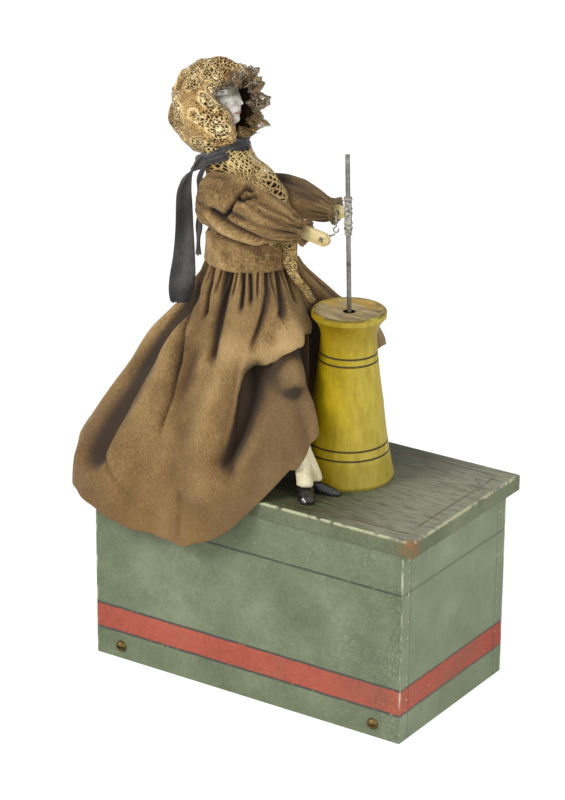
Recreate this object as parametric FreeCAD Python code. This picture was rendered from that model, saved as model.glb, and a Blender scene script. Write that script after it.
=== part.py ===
import FreeCAD, Part
import math
import os

# A clockwork toy: a doll in a bonnet works the dasher of a butter churn on a painted wooden box.
# Millimetres. +X runs along the box towards the churn, +Y to the back, +Z up.
# The origin is the centre of the underside of the box.

V = FreeCAD.Vector
os.makedirs("parts", exist_ok=True)

# Driving dimensions of the box
box_w = 152.0
box_d = 82.0
box_h = 83.5
board_t = 6.35
bottom_t = 9.5
lid_t = 6.9
lid_over_end = 4.5
lid_over_front = 0.7
lid_over_back = 3.0
lid_z = box_h + lid_t
screw_head_r = 2.55
screw_head_h = 1.7
screw_shank_r = 1.4
screw_len = 15.0
screw_inset = 12.7
nail_r = 0.6
nail_len = 18.0
nail_head_r = 1.3

# Driving dimensions of the churn
churn_x = 20.8
churn_y = box_d / 2 - board_t - 31.05
churn_base_r = 19.7
churn_neck_r = 11.4
churn_rim_r = 15.4
churn_h = 72.5
churn_neck_share = 0.85
churn_rim_h = 2.6
churn_dish_r = 13.6
churn_dish_h = 0.9
churn_bore_r = 7.5
churn_head_t = 16.0
churn_hole_r = 2.25
# Where the side bulges: shares of the neck's height, and of the way from neck radius to base radius
churn_bulges = ((0.130, 0.831), (0.536, 0.410), (0.869, 0.084))
lid_slot_r = 6.5
churn_screw_r = 13.6
churn_screw_len = 17.0

# Driving dimensions of the dasher and its crank
rod_r = 0.95
eye_r = 3.0
eye_hole_r = 1.35
eye_t = 2.0
crank_z = 45.0
crank_throw = 7.5
crank_phase = -60.0
disc_r = 10.0
disc_t = 1.7
crank_pin_r = 1.2
binding_r = 1.9
binding_half = 8.0
rod_over_hands = 25.5

# Clearances
run_gap = 0.05
seat_gap = 0.03
soft_gap = 0.3

# Driving dimensions of the movement
plate_t = 1.5
front_plate_y = churn_y + 5.9
back_plate_y = front_plate_y + 19.0
plate_x0 = -48.0
plate_x1 = 40.0
plate_z1 = 72.0
plate_corner_r = 3.0
foot_inset = 6.0
foot_screw_inset = 10.0
foot_screw_bury = 7.0
foot_len = 8.0
pillar_r = 2.2
pillar_stud_r = 1.2
pillar_inset = 4.0
pillar_low_z = 19.0
nut_r = 2.6
nut_t = 1.8
pressure = math.radians(25.0)
addendum = 0.9
dedendum = 1.15
backlash = 0.14
great_teeth = 54
great_module = 0.8
second_teeth = 48
second_module = 0.6
crank_teeth = 40
crank_module = 0.5
pinion_teeth = 12
fly_teeth = 10
wheel_t = 1.5
pinion_margin = 0.6
second_angle = 200.0
great_angle = 170.0
fly_angle = 60.0
great_wheel_y = front_plate_y + 10.5
second_wheel_y = front_plate_y + 15.9
crank_wheel_y = front_plate_y + 4.0
arbor_r = 1.4
pivot_r = 0.9
winding_r = 2.2
winding_pivot_r = 1.5
spring_core_r = 3.4
spring_y0 = front_plate_y + 2.5
spring_w = 7.0
spring_strip = 0.4
spring_step = 1.5
spring_turns = 7
ratchet_teeth = 12
ratchet_r = 8.0
ratchet_root_r = 6.4
ratchet_t = 1.5
ratchet_gap = 0.3
ratchet_phase = 100.0
click_pivot_r = 15.0
click_lead = 50.0
click_boss_r = 2.3
click_w = 1.5
click_screw_r = 1.1
vane_r = 8.0
vane_t = 0.5
vane_y0 = front_plate_y + 7.5
vane_len = 7.5
square_w = 3.0
key_reach = 11.0
arbor_shoulder = 2.0
key_hub_r = 3.2
key_hub_len = 13.0
key_wing_w = 26.0
key_wing_h = 13.0
key_wing_t = 1.8

# Driving dimensions of the doll
figure_x = -27.5
figure_y = churn_y
waist_z = lid_z + 82.1
waistband_h = 8.2
waist_rx = 18.0
waist_ry = 17.0
shoulder_x = figure_x - 3.5
shoulder_z = waist_z + 30.0
arm_offset = 11.0
arm_t = 2.0
arm_h = 5.5
right_arm_len = churn_x - shoulder_x - 2.3
left_arm_len = churn_x - shoulder_x - 9.3
right_arm_drop = 9.7
left_arm_drop = 4.9
hand_hole_r = 1.05
hand_hole_inset = 3.4
pin_r = 0.8
wire_r = 0.4
block_half = 5.0
block_hip_z = waist_z - 12.5
block_bend_z = waist_z + 17.5
block_top_z = shoulder_z + 9.5
post_r = 2.5
post_x = figure_x - 2.5
post_bury = 6.0
head_x = figure_x - 15.5
head_z = block_top_z + 29.0
head_h = 12.5
head_r = 10.6
head_turn = -20.0
head_back = 8.0
neck_r = 4.3
bonnet_back = 5.3
bonnet_drop = 4.0
cloth_t = 1.2
ribbon_x = head_x + 1.0
ribbon_z = block_top_z + 6.0
ribbon_slope = 25.0
ribbon_r = 11.5
ribbon_h = 5.0
tail_w = 8.0
tail_t = 1.0
tail_len = 47.0
tail_x = ribbon_x - 9.5
tail_y = figure_y - 17.9
tail_z = ribbon_z - 9.0
tail_turn = 33.0
leg_r = 3.6
hip_z = waist_z - 16.3
knee_z = lid_z + 56.6
knee_step = 14.0
ankle_z = lid_z + 6.6
shoe_h = 6.0

# Driving dimensions of the skirt. The cloth runs out beside the churn on both sides, stays short between,
# and is widest over the box's near left corner.
skirt_x = figure_x - 4.5
churn_side = churn_x - churn_base_r - skirt_x - 3.3
leg_room = 45.3
skirt_front = max(leg_room, figure_y + box_d / 2 + lid_over_front)
skirt_angles = (-25.0, -13.0, 12.0, 32.0, 90.0, 140.0, 180.0, 217.0, 270.0, 312.0)
# Height over the lid, axis, and distance from the axis in each of those directions
skirt_levels = (
    (81.8, figure_x, (17.2, 17.4, 17.4, 17.0, 16.6, 17.2, 17.4, 17.2, 16.6, 17.0)),
    (67.6, figure_x - 2.5, (41.0, churn_side + 4.0, churn_side - 1.0, 41.5, 30.0, 27.0, 25.0, 24.0, 25.0, 31.0)),
    (49.6, skirt_x, (50.0, churn_side + 9.0, churn_side + 1.0, 60.0, 42.0, 40.0, 37.0, 37.0, 34.0, 38.0)),
    (25.6, skirt_x, (58.0, churn_side + 6.5, churn_side + 1.0, 60.0, 50.0, 55.0, 50.0, 51.0, 44.0, 50.0)),
    (1.6, skirt_x, (60.0, churn_side + 2.0, churn_side, 60.0, 50.0, 66.0, 60.0,
                    skirt_front + 25.7, skirt_front + 6.2, skirt_front + 16.7)),
    (-30.4, skirt_x, (60.0, churn_side, churn_side, 60.0, 50.0, 66.5, 60.5,
                      skirt_front + 26.7, skirt_front + 6.7, skirt_front + 16.7)),
)
skirt_folds = 18
skirt_facets = 3
skirt_first_fold = -25.0
fold_depth = 2.3
gather_depth = 0.5
# The lowest hem, and the slanted plane that lifts it at the right
skirt_hem_z = lid_z - 26.4
hem_slope_x = 0.822
hem_slope_y = 0.4256
hem_rise = lid_z + 17.2

# Places worked out from the values above
inner_w = box_w / 2 - board_t
inner_d = box_d / 2 - board_t
churn_top_z = lid_z + churn_h
churn_neck_h = churn_neck_share * churn_h
rod_top_z = shoulder_z + rod_over_hands
back_face_y = back_plate_y + plate_t
eye_x = churn_x + crank_throw * math.cos(math.radians(crank_phase))
eye_z = crank_z + crank_throw * math.sin(math.radians(crank_phase))
rod_tilt = math.atan2(churn_x - eye_x, churn_top_z - churn_dish_h - eye_z)
right_arm_y = figure_y - arm_offset
left_arm_y = figure_y + arm_offset


def polar(x, z, r, degrees):
    a = math.radians(degrees)
    return (x + r * math.cos(a), z + r * math.sin(a))


second_gap = (second_teeth + pinion_teeth) * second_module / 2
great_gap = (great_teeth + pinion_teeth) * great_module / 2
fly_gap = (crank_teeth + fly_teeth) * crank_module / 2
second_x, second_z = polar(churn_x, crank_z, second_gap, second_angle)
great_x, great_z = polar(second_x, second_z, great_gap, great_angle)
fly_x, fly_z = polar(churn_x, crank_z, fly_gap, fly_angle)
pillar_places = [
    (plate_x0 + pillar_inset, pillar_low_z),
    (plate_x0 + pillar_inset, plate_z1 - pillar_inset),
    (plate_x1 - pillar_inset, pillar_low_z),
    (plate_x1 - pillar_inset, plate_z1 - pillar_inset),
]


def save(name, shape):
    shape.exportStep("parts/%s.step" % name)


def block(x0, x1, y0, y1, z0, z1):
    return Part.makeBox(x1 - x0, y1 - y0, z1 - z0, V(x0, y0, z0))


def rod_y(x, z, r, y0, y1):
    return Part.makeCylinder(r, y1 - y0, V(x, y0, z), V(0, 1, 0))


def rod_z(x, y, r, z0, z1):
    return Part.makeCylinder(r, z1 - z0, V(x, y, z0), V(0, 0, 1))


def rod_between(a, b, r):
    return Part.makeCylinder(r, (b - a).Length, a, b - a)


def cone_between(a, b, ra, rb):
    return Part.makeCone(ra, rb, (b - a).Length, a, b - a)


def group(solids):
    return Part.makeCompound(solids)


def arc(a, b, c):
    return Part.Arc(a, b, c).toShape()


def plate_from(points, y0, y1):
    """A flat piece whose outline lies in the XZ plane."""
    ring = [V(x, y0, z) for x, z in points]
    wire = Part.makePolygon(ring + [ring[0]])
    return Part.Face(wire).extrude(V(0, y1 - y0, 0))


def lobed_ring(valleys, crests):
    """A closed wire of bulging arcs, each from one valley over its crest to the next valley."""
    n = len(valleys)
    return Part.Wire([arc(valleys[i], crests[i], valleys[(i + 1) % n]) for i in range(n)])


def oval_z(cx, cy, rx, ry, z):
    """A level oval of four arcs."""
    def spot(k):
        a = math.radians(k * 45.0)
        return V(cx + rx * math.cos(a), cy + ry * math.sin(a), z)
    return Part.Wire([arc(spot(2 * k), spot(2 * k + 1), spot(2 * k + 2)) for k in range(4)])


def oval_x(x, cy, cz, ry, rz):
    """An upright oval across the X axis."""
    def spot(k):
        a = math.radians(k * 45.0)
        return V(x, cy + ry * math.cos(a), cz + rz * math.sin(a))
    return Part.Wire([arc(spot(2 * k), spot(2 * k + 1), spot(2 * k + 2)) for k in range(4)])


def skin(wires):
    return Part.makeLoft(wires, True, True)


def faceted(rings):
    """A solid of flat triangles between rings of points, closed by a flat face at both ends."""
    faces = []
    for low, high in zip(rings[:-1], rings[1:]):
        for k in range(len(low)):
            n = (k + 1) % len(low)
            for corners in ((low[k], low[n], high[n]), (low[k], high[n], high[k])):
                faces.append(Part.Face(Part.makePolygon(list(corners) + [corners[0]])))
    for ring in (rings[0], rings[-1]):
        faces.append(Part.Face(Part.makePolygon(list(ring) + [ring[0]])))
    form = Part.Solid(Part.Shell(faces))
    return form if form.Volume > 0 else form.reversed()


def tube(points, radii, sides):
    """A faceted rod along points, with its own radius at each and a flat face at both ends."""
    rings = []
    side = V(0.3, 1.0, 0.2)
    for k, point in enumerate(points):
        ahead = points[min(k + 1, len(points) - 1)] - points[max(k - 1, 0)]
        ahead.normalize()
        side = side - ahead * side.dot(ahead)
        side.normalize()
        other = ahead.cross(side)
        turns = [2 * math.pi * n / sides for n in range(sides)]
        rings.append([point + (side * math.cos(a) + other * math.sin(a)) * radii[k] for a in turns])
    return faceted(rings)


def turned(profile, sides):
    """A faceted form turned about the Z axis from (radius, height) points."""
    turns = [2 * math.pi * n / sides for n in range(sides)]
    return faceted([[V(r * math.cos(a), r * math.sin(a), z) for a in turns] for r, z in profile])


# The box

def front_board():
    board = block(-box_w / 2, box_w / 2, -box_d / 2, -inner_d, 0, box_h)
    return board.cut(group(base_screw_holes()))


def back_board():
    board = block(-box_w / 2, box_w / 2, inner_d, box_d / 2, 0, box_h)
    board = board.cut(rod_y(great_x, great_z, winding_r + 1.0, inner_d - 1, box_d / 2 + 1))
    return board.cut(group(base_screw_holes()))


def end_board(side):
    x0 = min(side * box_w / 2, side * inner_w)
    board = block(x0, x0 + board_t, -inner_d, inner_d, 0, box_h)
    return board.cut(group(nail_holes()))


def top_board():
    lid = block(-box_w / 2 - lid_over_end, box_w / 2 + lid_over_end,
                -box_d / 2 - lid_over_front, box_d / 2 + lid_over_back, box_h, lid_z)
    worn = []
    for face_edge in lid.Edges:
        mid = face_edge.BoundBox.Center
        if abs(mid.z - lid_z) < 0.01:
            worn.append(face_edge)
    lid = lid.makeFillet(0.8, worn)
    lid = lid.cut(rod_z(churn_x, churn_y, lid_slot_r, box_h - 1, lid_z + 1))
    lid = lid.cut(rod_z(post_x, figure_y, post_r + seat_gap, box_h - 1, lid_z + 1))
    for x, y in churn_screw_places():
        lid = lid.cut(rod_z(x, y, screw_shank_r + seat_gap, box_h - 1, lid_z + 1))
    return lid.cut(group(nail_holes()))


def bottom_board():
    board = block(-inner_w, inner_w, -inner_d, inner_d, 0, bottom_t)
    board = board.cut(group(base_screw_holes()))
    for x, y in foot_screw_places():
        board = board.cut(rod_z(x, y, pillar_stud_r + seat_gap, bottom_t - foot_screw_bury - 0.5, bottom_t + 1))
    return board


def base_screw_places():
    x = box_w / 2 - screw_inset
    return [(-x, -1), (x, -1), (-x, 1), (x, 1)]


def base_screw_holes():
    z = bottom_t / 2 + 1.0
    holes = []
    for x, side in base_screw_places():
        start = V(x, side * (box_d / 2 + 1), z)
        stop = V(x, side * (box_d / 2 - screw_len - 0.5), z)
        holes.append(rod_between(start, stop, screw_shank_r + seat_gap))
    return holes


def round_head(radius, height):
    """A slotted dome on the XY plane, crown up."""
    profile = Part.Wire([
        Part.LineSegment(V(0, 0, 0), V(radius, 0, 0)).toShape(),
        arc(V(radius, 0, 0), V(radius * 0.74, 0, height * 0.72), V(0, 0, height)),
        Part.LineSegment(V(0, 0, height), V(0, 0, 0)).toShape(),
    ])
    dome = Part.Face(profile).revolve(V(0, 0, 0), V(0, 0, 1), 360)
    slot = block(-radius - 1, radius + 1, -0.3, 0.3, height * 0.5, height + 1)
    return dome.cut(slot)


def base_screws():
    z = bottom_t / 2 + 1.0
    solids = []
    for x, side in base_screw_places():
        screw = round_head(screw_head_r, screw_head_h)
        screw = screw.fuse(rod_z(0, 0, screw_shank_r, -screw_len, 0.2))
        screw.rotate(V(0, 0, 0), V(1, 0, 0), 90 if side < 0 else -90)
        screw.translate(V(x, side * box_d / 2, z))
        solids.append(screw)
    return group(solids)


def nail_places():
    x = box_w / 2 - board_t / 2
    y = inner_d - 8.0
    return [(-x, -y), (-x, y), (x, -y), (x, y)]


def nail_holes():
    holes = []
    for x, y in nail_places():
        hole = rod_z(x, y, nail_r + seat_gap, lid_z - nail_len - 0.5, lid_z + 1)
        holes.append(hole.fuse(rod_z(x, y, nail_head_r + seat_gap, lid_z - 0.8, lid_z + 1)))
    return holes


def lid_nails():
    solids = []
    for x, y in nail_places():
        nail = rod_z(x, y, nail_r, lid_z - nail_len, lid_z - 0.4)
        solids.append(nail.fuse(rod_z(x, y, nail_head_r, lid_z - 0.75, lid_z - 0.05)))
    return group(solids)


# The churn

def churn_body():
    top = churn_h
    rise = [V(churn_base_r - 0.5, 0, 0), V(churn_base_r, 0, 1.2)]
    for up, out in churn_bulges:
        rise.append(V(churn_neck_r + out * (churn_base_r - churn_neck_r), 0, up * churn_neck_h))
    rise.append(V(churn_neck_r, 0, churn_neck_h))
    side = [Part.LineSegment(rise[0], rise[1]).toShape()]
    side.append(arc(rise[1], rise[2], rise[3]))
    side.append(arc(rise[3], rise[4], rise[5]))
    rim_low = V(churn_rim_r, 0, top - churn_rim_h)
    flare = V(churn_neck_r + 0.325 * (churn_rim_r - churn_neck_r), 0, churn_neck_h + 0.555 * (rim_low.z - churn_neck_h))
    side.append(arc(rise[5], flare, rim_low))
    corners = [
        rim_low,
        V(churn_rim_r, 0, top - 0.5),
        V(churn_rim_r - 0.5, 0, top),
        V(churn_dish_r, 0, top),
        V(churn_dish_r - 1.0, 0, top - churn_dish_h),
        V(churn_hole_r, 0, top - churn_dish_h),
        V(churn_hole_r, 0, top - churn_head_t),
        V(churn_bore_r, 0, top - churn_head_t - 3.0),
        V(churn_bore_r, 0, 0),
        rise[0],
    ]
    for a, b in zip(corners, corners[1:]):
        side.append(Part.LineSegment(a, b).toShape())
    body = Part.Face(Part.Wire(side)).revolve(V(0, 0, 0), V(0, 0, 1), 360)
    body.translate(V(churn_x, churn_y, lid_z))
    for x, y in churn_screw_places():
        depth = churn_screw_len - lid_t + 0.5
        body = body.cut(rod_z(x, y, screw_shank_r + seat_gap, lid_z - 1, lid_z + depth))
    return body


def churn_screw_places():
    return [(churn_x - churn_screw_r, churn_y), (churn_x + churn_screw_r, churn_y)]


def churn_screws():
    solids = []
    for x, y in churn_screw_places():
        screw = round_head(screw_head_r, screw_head_h)
        screw = screw.fuse(rod_z(0, 0, screw_shank_r, -churn_screw_len, 0.2))
        screw.rotate(V(0, 0, 0), V(1, 0, 0), 180)
        screw.translate(V(x, y, box_h))
        solids.append(screw)
    return group(solids)


# The dasher

def along_rod(z):
    """A point of the rod's axis at a height."""
    return V(eye_x + (z - eye_z) * math.tan(rod_tilt), churn_y, z)


def dasher_rod():
    return rod_between(along_rod(eye_z + eye_r - 0.2), along_rod(rod_top_z), rod_r)


def dasher_eye():
    y0 = churn_y - eye_t / 2
    ring = rod_y(eye_x, eye_z, eye_r, y0, y0 + eye_t)
    neck = rod_between(along_rod(eye_z + eye_r - 0.8), along_rod(eye_z + eye_r + 5.0), rod_r + 0.6)
    ring = ring.fuse(neck)
    ring = ring.cut(rod_y(eye_x, eye_z, eye_hole_r, y0 - 1, y0 + eye_t + 1))
    return ring.cut(rod_between(along_rod(eye_z + eye_r - 0.2), along_rod(rod_top_z), rod_r + seat_gap))


def rod_binding():
    """Wire wrap and solder where the hands are tied to the rod, in rounded bands."""
    bands = 8
    first = shoulder_z - binding_half
    step = 2 * binding_half / bands
    points = [along_rod(first)]
    radii = [binding_r - 0.4]
    for k in range(bands):
        wide = binding_r if k % 3 else binding_r - 0.35
        points += [along_rod(first + (k + 0.5) * step), along_rod(first + (k + 1) * step)]
        radii += [wide, binding_r - 0.4]
    bore = rod_between(along_rod(first - 1), along_rod(first + bands * step + 1), rod_r + seat_gap)
    return tube(points, radii, 12).cut(bore)


# The wheels of the movement

def inv(a):
    return math.tan(a) - a


def toothed_disc(teeth, module, phase, y0, y1):
    """A spur wheel about the Y axis through the origin. Each flank has one point at the pitch line."""
    pitch = teeth * module / 2
    base = pitch * math.cos(pressure)
    half = math.pi / (2 * teeth) - backlash / (4 * pitch)

    def half_angle(r):
        if r <= base:
            return half + inv(pressure)
        return half + inv(pressure) - inv(math.acos(base / r))
    root = pitch - dedendum * module
    radii = [root, pitch, pitch + addendum * module]
    points = []
    for k in range(teeth):
        middle = math.radians(phase) + 2 * math.pi * k / teeth
        for r in radii:
            a = middle - half_angle(r)
            points.append((r * math.cos(a), r * math.sin(a)))
        for r in reversed(radii):
            a = middle + half_angle(r)
            points.append((r * math.cos(a), r * math.sin(a)))
    return plate_from(points, y0, y1)


def at(shape, x, z):
    moved = shape.copy()
    moved.translate(V(x, 0, z))
    return moved


def pinion_phase(angle, teeth):
    """A pinion has a gap where its wheel has a tooth."""
    return angle + 180.0 - 180.0 / teeth


def window_ring(count, radius, place_r, start, y0, y1):
    holes = []
    for k in range(count):
        x, z = polar(0, 0, place_r, start + 360.0 * k / count)
        holes.append(rod_y(x, z, radius, y0 - 1, y1 + 1))
    return group(holes)


def great_wheel():
    y1 = great_wheel_y + wheel_t
    wheel = toothed_disc(great_teeth, great_module, great_angle + 180.0, great_wheel_y, y1)
    wheel = wheel.cut(rod_y(0, 0, winding_r + run_gap, great_wheel_y - 1, y1 + 1))
    start = ratchet_phase + click_lead + 36.0
    wheel = wheel.cut(window_ring(5, 3.0, click_pivot_r - 0.5, start, great_wheel_y, y1))
    x, z = polar(0, 0, click_pivot_r, ratchet_phase + click_lead)
    wheel = wheel.cut(rod_y(x, z, click_screw_r + seat_gap, great_wheel_y - 1, y1 + 1))
    return at(wheel, great_x, great_z)


def ratchet_y():
    return great_wheel_y + wheel_t + ratchet_gap


def ratchet_wheel():
    points = []
    for k in range(ratchet_teeth):
        a = ratchet_phase + 360.0 * k / ratchet_teeth
        points.append(polar(0, 0, ratchet_r, a))
        points.append(polar(0, 0, ratchet_root_r, a))
    wheel = plate_from(points, ratchet_y(), ratchet_y() + ratchet_t)
    wheel = wheel.cut(rod_y(0, 0, winding_r + seat_gap, ratchet_y() - 1, ratchet_y() + ratchet_t + 1))
    return at(wheel, great_x, great_z)


def click():
    """The pawl: its nose rests against one tooth and its boss turns on the click screw."""
    rest = ratchet_phase + 2.4
    pivot = polar(0, 0, click_pivot_r, ratchet_phase + click_lead)
    inner = polar(0, 0, ratchet_root_r + 0.45, rest)
    outer = polar(0, 0, ratchet_r + 0.1, rest)
    back = polar(0, 0, ratchet_r + 1.2, rest + 6.0)
    dx, dz = pivot[0] - inner[0], pivot[1] - inner[1]
    size = math.hypot(dx, dz)
    nx, nz = -dz / size, dx / size
    if nx * inner[0] + nz * inner[1] > 0:
        nx, nz = -nx, -nz
    low = (pivot[0] + nx * click_w / 2, pivot[1] + nz * click_w / 2)
    high = (pivot[0] - nx * click_boss_r, pivot[1] - nz * click_boss_r)
    y0 = ratchet_y()
    bar = plate_from([inner, low, high, back, outer], y0, y0 + ratchet_t)
    bar = bar.fuse(rod_y(pivot[0], pivot[1], click_boss_r, y0, y0 + ratchet_t))
    bar = bar.cut(rod_y(pivot[0], pivot[1], click_screw_r + run_gap, y0 - 1, y0 + ratchet_t + 1))
    return at(bar, great_x, great_z)


def click_screw():
    x, z = polar(great_x, great_z, click_pivot_r, ratchet_phase + click_lead)
    y1 = ratchet_y() + ratchet_t + 0.15
    screw = rod_y(x, z, click_screw_r, great_wheel_y, y1)
    head = rod_y(x, z, click_boss_r - 0.3, y1, y1 + 0.8)
    slot = block(x - 3, x + 3, y1 + 0.4, y1 + 2, z - 0.25, z + 0.25)
    return screw.fuse(head).cut(slot)


def click_spring():
    """A leaf on the great wheel: its foot stands by the rim and its tip stays close behind the click."""
    angle = ratchet_phase + click_lead
    pivot = polar(0, 0, click_pivot_r, angle)
    y0 = great_wheel_y + wheel_t
    foot = polar(0, 0, 17.6, angle - 42.0)
    tip = polar(pivot[0], pivot[1], click_boss_r + 0.5, angle - 62.0)
    middle = polar(0, 0, 18.6, angle - 20.0)

    def shift(p, d):
        r = math.hypot(p[0], p[1])
        return (p[0] * (r + d) / r, p[1] * (r + d) / r)
    leaf = [foot, middle, tip]
    outline = leaf + [shift(p, 0.4) for p in reversed(leaf)]
    strip = plate_from(outline, y0 + 0.3, y0 + 1.5)
    return at(strip.fuse(rod_y(foot[0], foot[1], 1.0, y0, y0 + 1.5)), great_x, great_z)


def winding_arbor():
    core = rod_y(0, 0, spring_core_r, spring_y0 - 0.3, spring_y0 + spring_w + 0.2)
    shaft = rod_y(0, 0, winding_r, spring_y0 - 0.3, box_d / 2 + arbor_shoulder)
    front = rod_y(0, 0, winding_pivot_r, front_plate_y - 0.4, spring_y0)
    half = square_w / 2
    square = block(-half, half, box_d / 2 + 1.0, box_d / 2 + key_reach, -half, half)
    return at(core.fuse([shaft, front, square]), great_x, great_z)


def spiral_outline(radius, phase):
    """Half turns whose centres alternate, so that each one runs on from the last."""
    d = spring_step / 2
    ux, uz = math.cos(math.radians(phase)), math.sin(math.radians(phase))
    arcs = []
    for k in range(2 * spring_turns):
        cx, cz = (0.0, 0.0) if k % 2 == 0 else (d * ux, d * uz)
        r = radius + k * d
        s = 1 if k % 2 == 0 else -1
        start = V(cx + s * r * ux, spring_y0, cz + s * r * uz)
        crest = V(cx - s * r * uz, spring_y0, cz + s * r * ux)
        stop = V(cx - s * r * ux, spring_y0, cz - s * r * uz)
        arcs.append(arc(start, crest, stop))
    return arcs, start, stop


def mainspring():
    """Seven turns about the core and a straight end that hooks round the low left pillar."""
    pillar = pillar_places[0]
    px, pz = pillar[0] - great_x, pillar[1] - great_z
    inner_r = spring_core_r + soft_gap
    outer_r = inner_r + spring_turns * spring_step
    reach = math.hypot(px, pz)
    phase = math.degrees(math.atan2(pz, px) - math.acos(outer_r / reach))
    inner, _, inner_stop = spiral_outline(inner_r, phase)
    outer, _, outer_stop = spiral_outline(inner_r + spring_strip, phase)
    first = Part.LineSegment(outer[0].Vertexes[0].Point, inner[0].Vertexes[0].Point).toShape()
    last = Part.LineSegment(inner_stop, outer_stop).toShape()
    wire = Part.Wire(Part.__sortEdges__(inner + outer + [first, last]))
    coil = Part.Face(wire).extrude(V(0, spring_w, 0))
    start = (inner_stop + outer_stop) * 0.5
    away = V(px, spring_y0, pz) - start
    eye_inner = pillar_r + soft_gap
    back = 0.4
    length = away.Length - eye_inner - spring_strip / 2
    tail = Part.makeBox(length + back, spring_w, spring_strip, V(-back, 0, -spring_strip / 2))
    tail.rotate(V(0, 0, 0), V(0, 1, 0), -math.degrees(math.atan2(away.z, away.x)))
    tail.translate(start)
    eye = rod_y(px, pz, eye_inner + spring_strip, spring_y0, spring_y0 + spring_w)
    eye = eye.cut(rod_y(px, pz, eye_inner, spring_y0 - 1, spring_y0 + spring_w + 1))
    return at(coil.fuse([tail, eye]), great_x, great_z)


def arbor(x, z, front_r, front_y, teeth, module, phase, gear_y0, gear_y1):
    """A steel arbor between the plates with its leaf pinion cut on it."""
    shoulder = 0.2
    shaft = rod_y(0, 0, arbor_r, front_plate_y + plate_t + shoulder, back_plate_y - shoulder)
    front = rod_y(0, 0, front_r, front_y, front_plate_y + plate_t + shoulder)
    back = rod_y(0, 0, pivot_r, back_plate_y - shoulder, back_face_y + 0.3)
    leaves = toothed_disc(teeth, module, phase, gear_y0, gear_y1)
    return at(shaft.fuse([front, back, leaves]), x, z)


def second_arbor():
    phase = pinion_phase(great_angle + 180.0, pinion_teeth)
    return arbor(second_x, second_z, pivot_r, front_plate_y - 0.3, pinion_teeth, great_module, phase,
                 great_wheel_y - pinion_margin, great_wheel_y + wheel_t + pinion_margin)


def second_wheel():
    y1 = second_wheel_y + wheel_t
    wheel = toothed_disc(second_teeth, second_module, second_angle + 180.0, second_wheel_y, y1)
    wheel = wheel.cut(rod_y(0, 0, arbor_r + seat_gap, second_wheel_y - 1, y1 + 1))
    return at(wheel.cut(window_ring(5, 2.7, 8.2, 0, second_wheel_y, y1)), second_x, second_z)


def crank_arbor():
    phase = pinion_phase(second_angle + 180.0, pinion_teeth)
    return arbor(churn_x, crank_z, arbor_r, disc_y(), pinion_teeth, second_module, phase,
                 second_wheel_y - pinion_margin, second_wheel_y + wheel_t + pinion_margin)


def crank_wheel():
    y1 = crank_wheel_y + wheel_t
    wheel = toothed_disc(crank_teeth, crank_module, fly_angle, crank_wheel_y, y1)
    wheel = wheel.cut(rod_y(0, 0, arbor_r + seat_gap, crank_wheel_y - 1, y1 + 1))
    return at(wheel.cut(window_ring(4, 1.9, 5.4, 45, crank_wheel_y, y1)), churn_x, crank_z)


def disc_y():
    """The front face of the crank disc."""
    return front_plate_y - 0.6 - disc_t


def crank_disc():
    disc = rod_y(churn_x, crank_z, disc_r, disc_y(), disc_y() + disc_t)
    disc = disc.cut(rod_y(churn_x, crank_z, arbor_r + seat_gap, disc_y() - 1, disc_y() + disc_t + 1))
    return disc.cut(rod_y(eye_x, eye_z, crank_pin_r + seat_gap, disc_y() - 1, disc_y() + disc_t + 1))


def crank_pin():
    """The pin ends just short of the dasher's eye, where the linkage is opened."""
    return rod_y(eye_x, eye_z, crank_pin_r, churn_y + eye_t / 2 + soft_gap, disc_y() + disc_t)


def fly_arbor():
    phase = pinion_phase(fly_angle, fly_teeth)
    return arbor(fly_x, fly_z, pivot_r, front_plate_y - 0.3, fly_teeth, crank_module, phase,
                 crank_wheel_y - pinion_margin, crank_wheel_y + wheel_t + pinion_margin)


def fly_vane():
    y1 = vane_y0 + vane_len
    vane = block(-vane_r, vane_r, vane_y0, y1, -vane_t / 2, vane_t / 2)
    hub = rod_y(0, 0, arbor_r + 0.7, vane_y0, y1)
    vane = vane.fuse(hub).cut(rod_y(0, 0, arbor_r + seat_gap, vane_y0 - 1, y1 + 1))
    return at(vane, fly_x, fly_z)


# The frame of the movement

def foot_screw_places():
    xs = [plate_x0 + foot_screw_inset, plate_x1 - foot_screw_inset]
    ys = [front_plate_y - foot_len / 2, back_plate_y - foot_len / 2]
    return [(x, y) for x in xs for y in ys]


def movement_plate(y0):
    y1 = y0 + plate_t
    plate = block(plate_x0, plate_x1, y0, y1, bottom_t, plate_z1)
    corners = []
    for edge in plate.Edges:
        if abs(edge.BoundBox.YLength - plate_t) < 0.01 and edge.BoundBox.ZMin > crank_z:
            corners.append(edge)
    plate = plate.makeFillet(plate_corner_r, corners)
    foot = block(plate_x0 + foot_inset, plate_x1 - foot_inset, y0 - foot_len, y0, bottom_t, bottom_t + plate_t)
    plate = plate.fuse(foot)
    holes = []
    for x, z in pillar_places:
        holes.append(rod_y(x, z, pillar_stud_r + seat_gap, y0 - 1, y1 + 1))
    for x, y in foot_screw_places():
        holes.append(rod_z(x, y, pillar_stud_r + seat_gap, bottom_t - 1, bottom_t + plate_t + 1))
    holes.append(rod_y(second_x, second_z, pivot_r + run_gap, y0 - 1, y1 + 1))
    holes.append(rod_y(fly_x, fly_z, pivot_r + run_gap, y0 - 1, y1 + 1))
    front = y0 < back_plate_y
    crank_r = arbor_r if front else pivot_r
    great_r = winding_pivot_r if front else winding_r
    holes.append(rod_y(churn_x, crank_z, crank_r + run_gap, y0 - 1, y1 + 1))
    holes.append(rod_y(great_x, great_z, great_r + run_gap, y0 - 1, y1 + 1))
    return plate.cut(group(holes)).removeSplitter()


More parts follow.
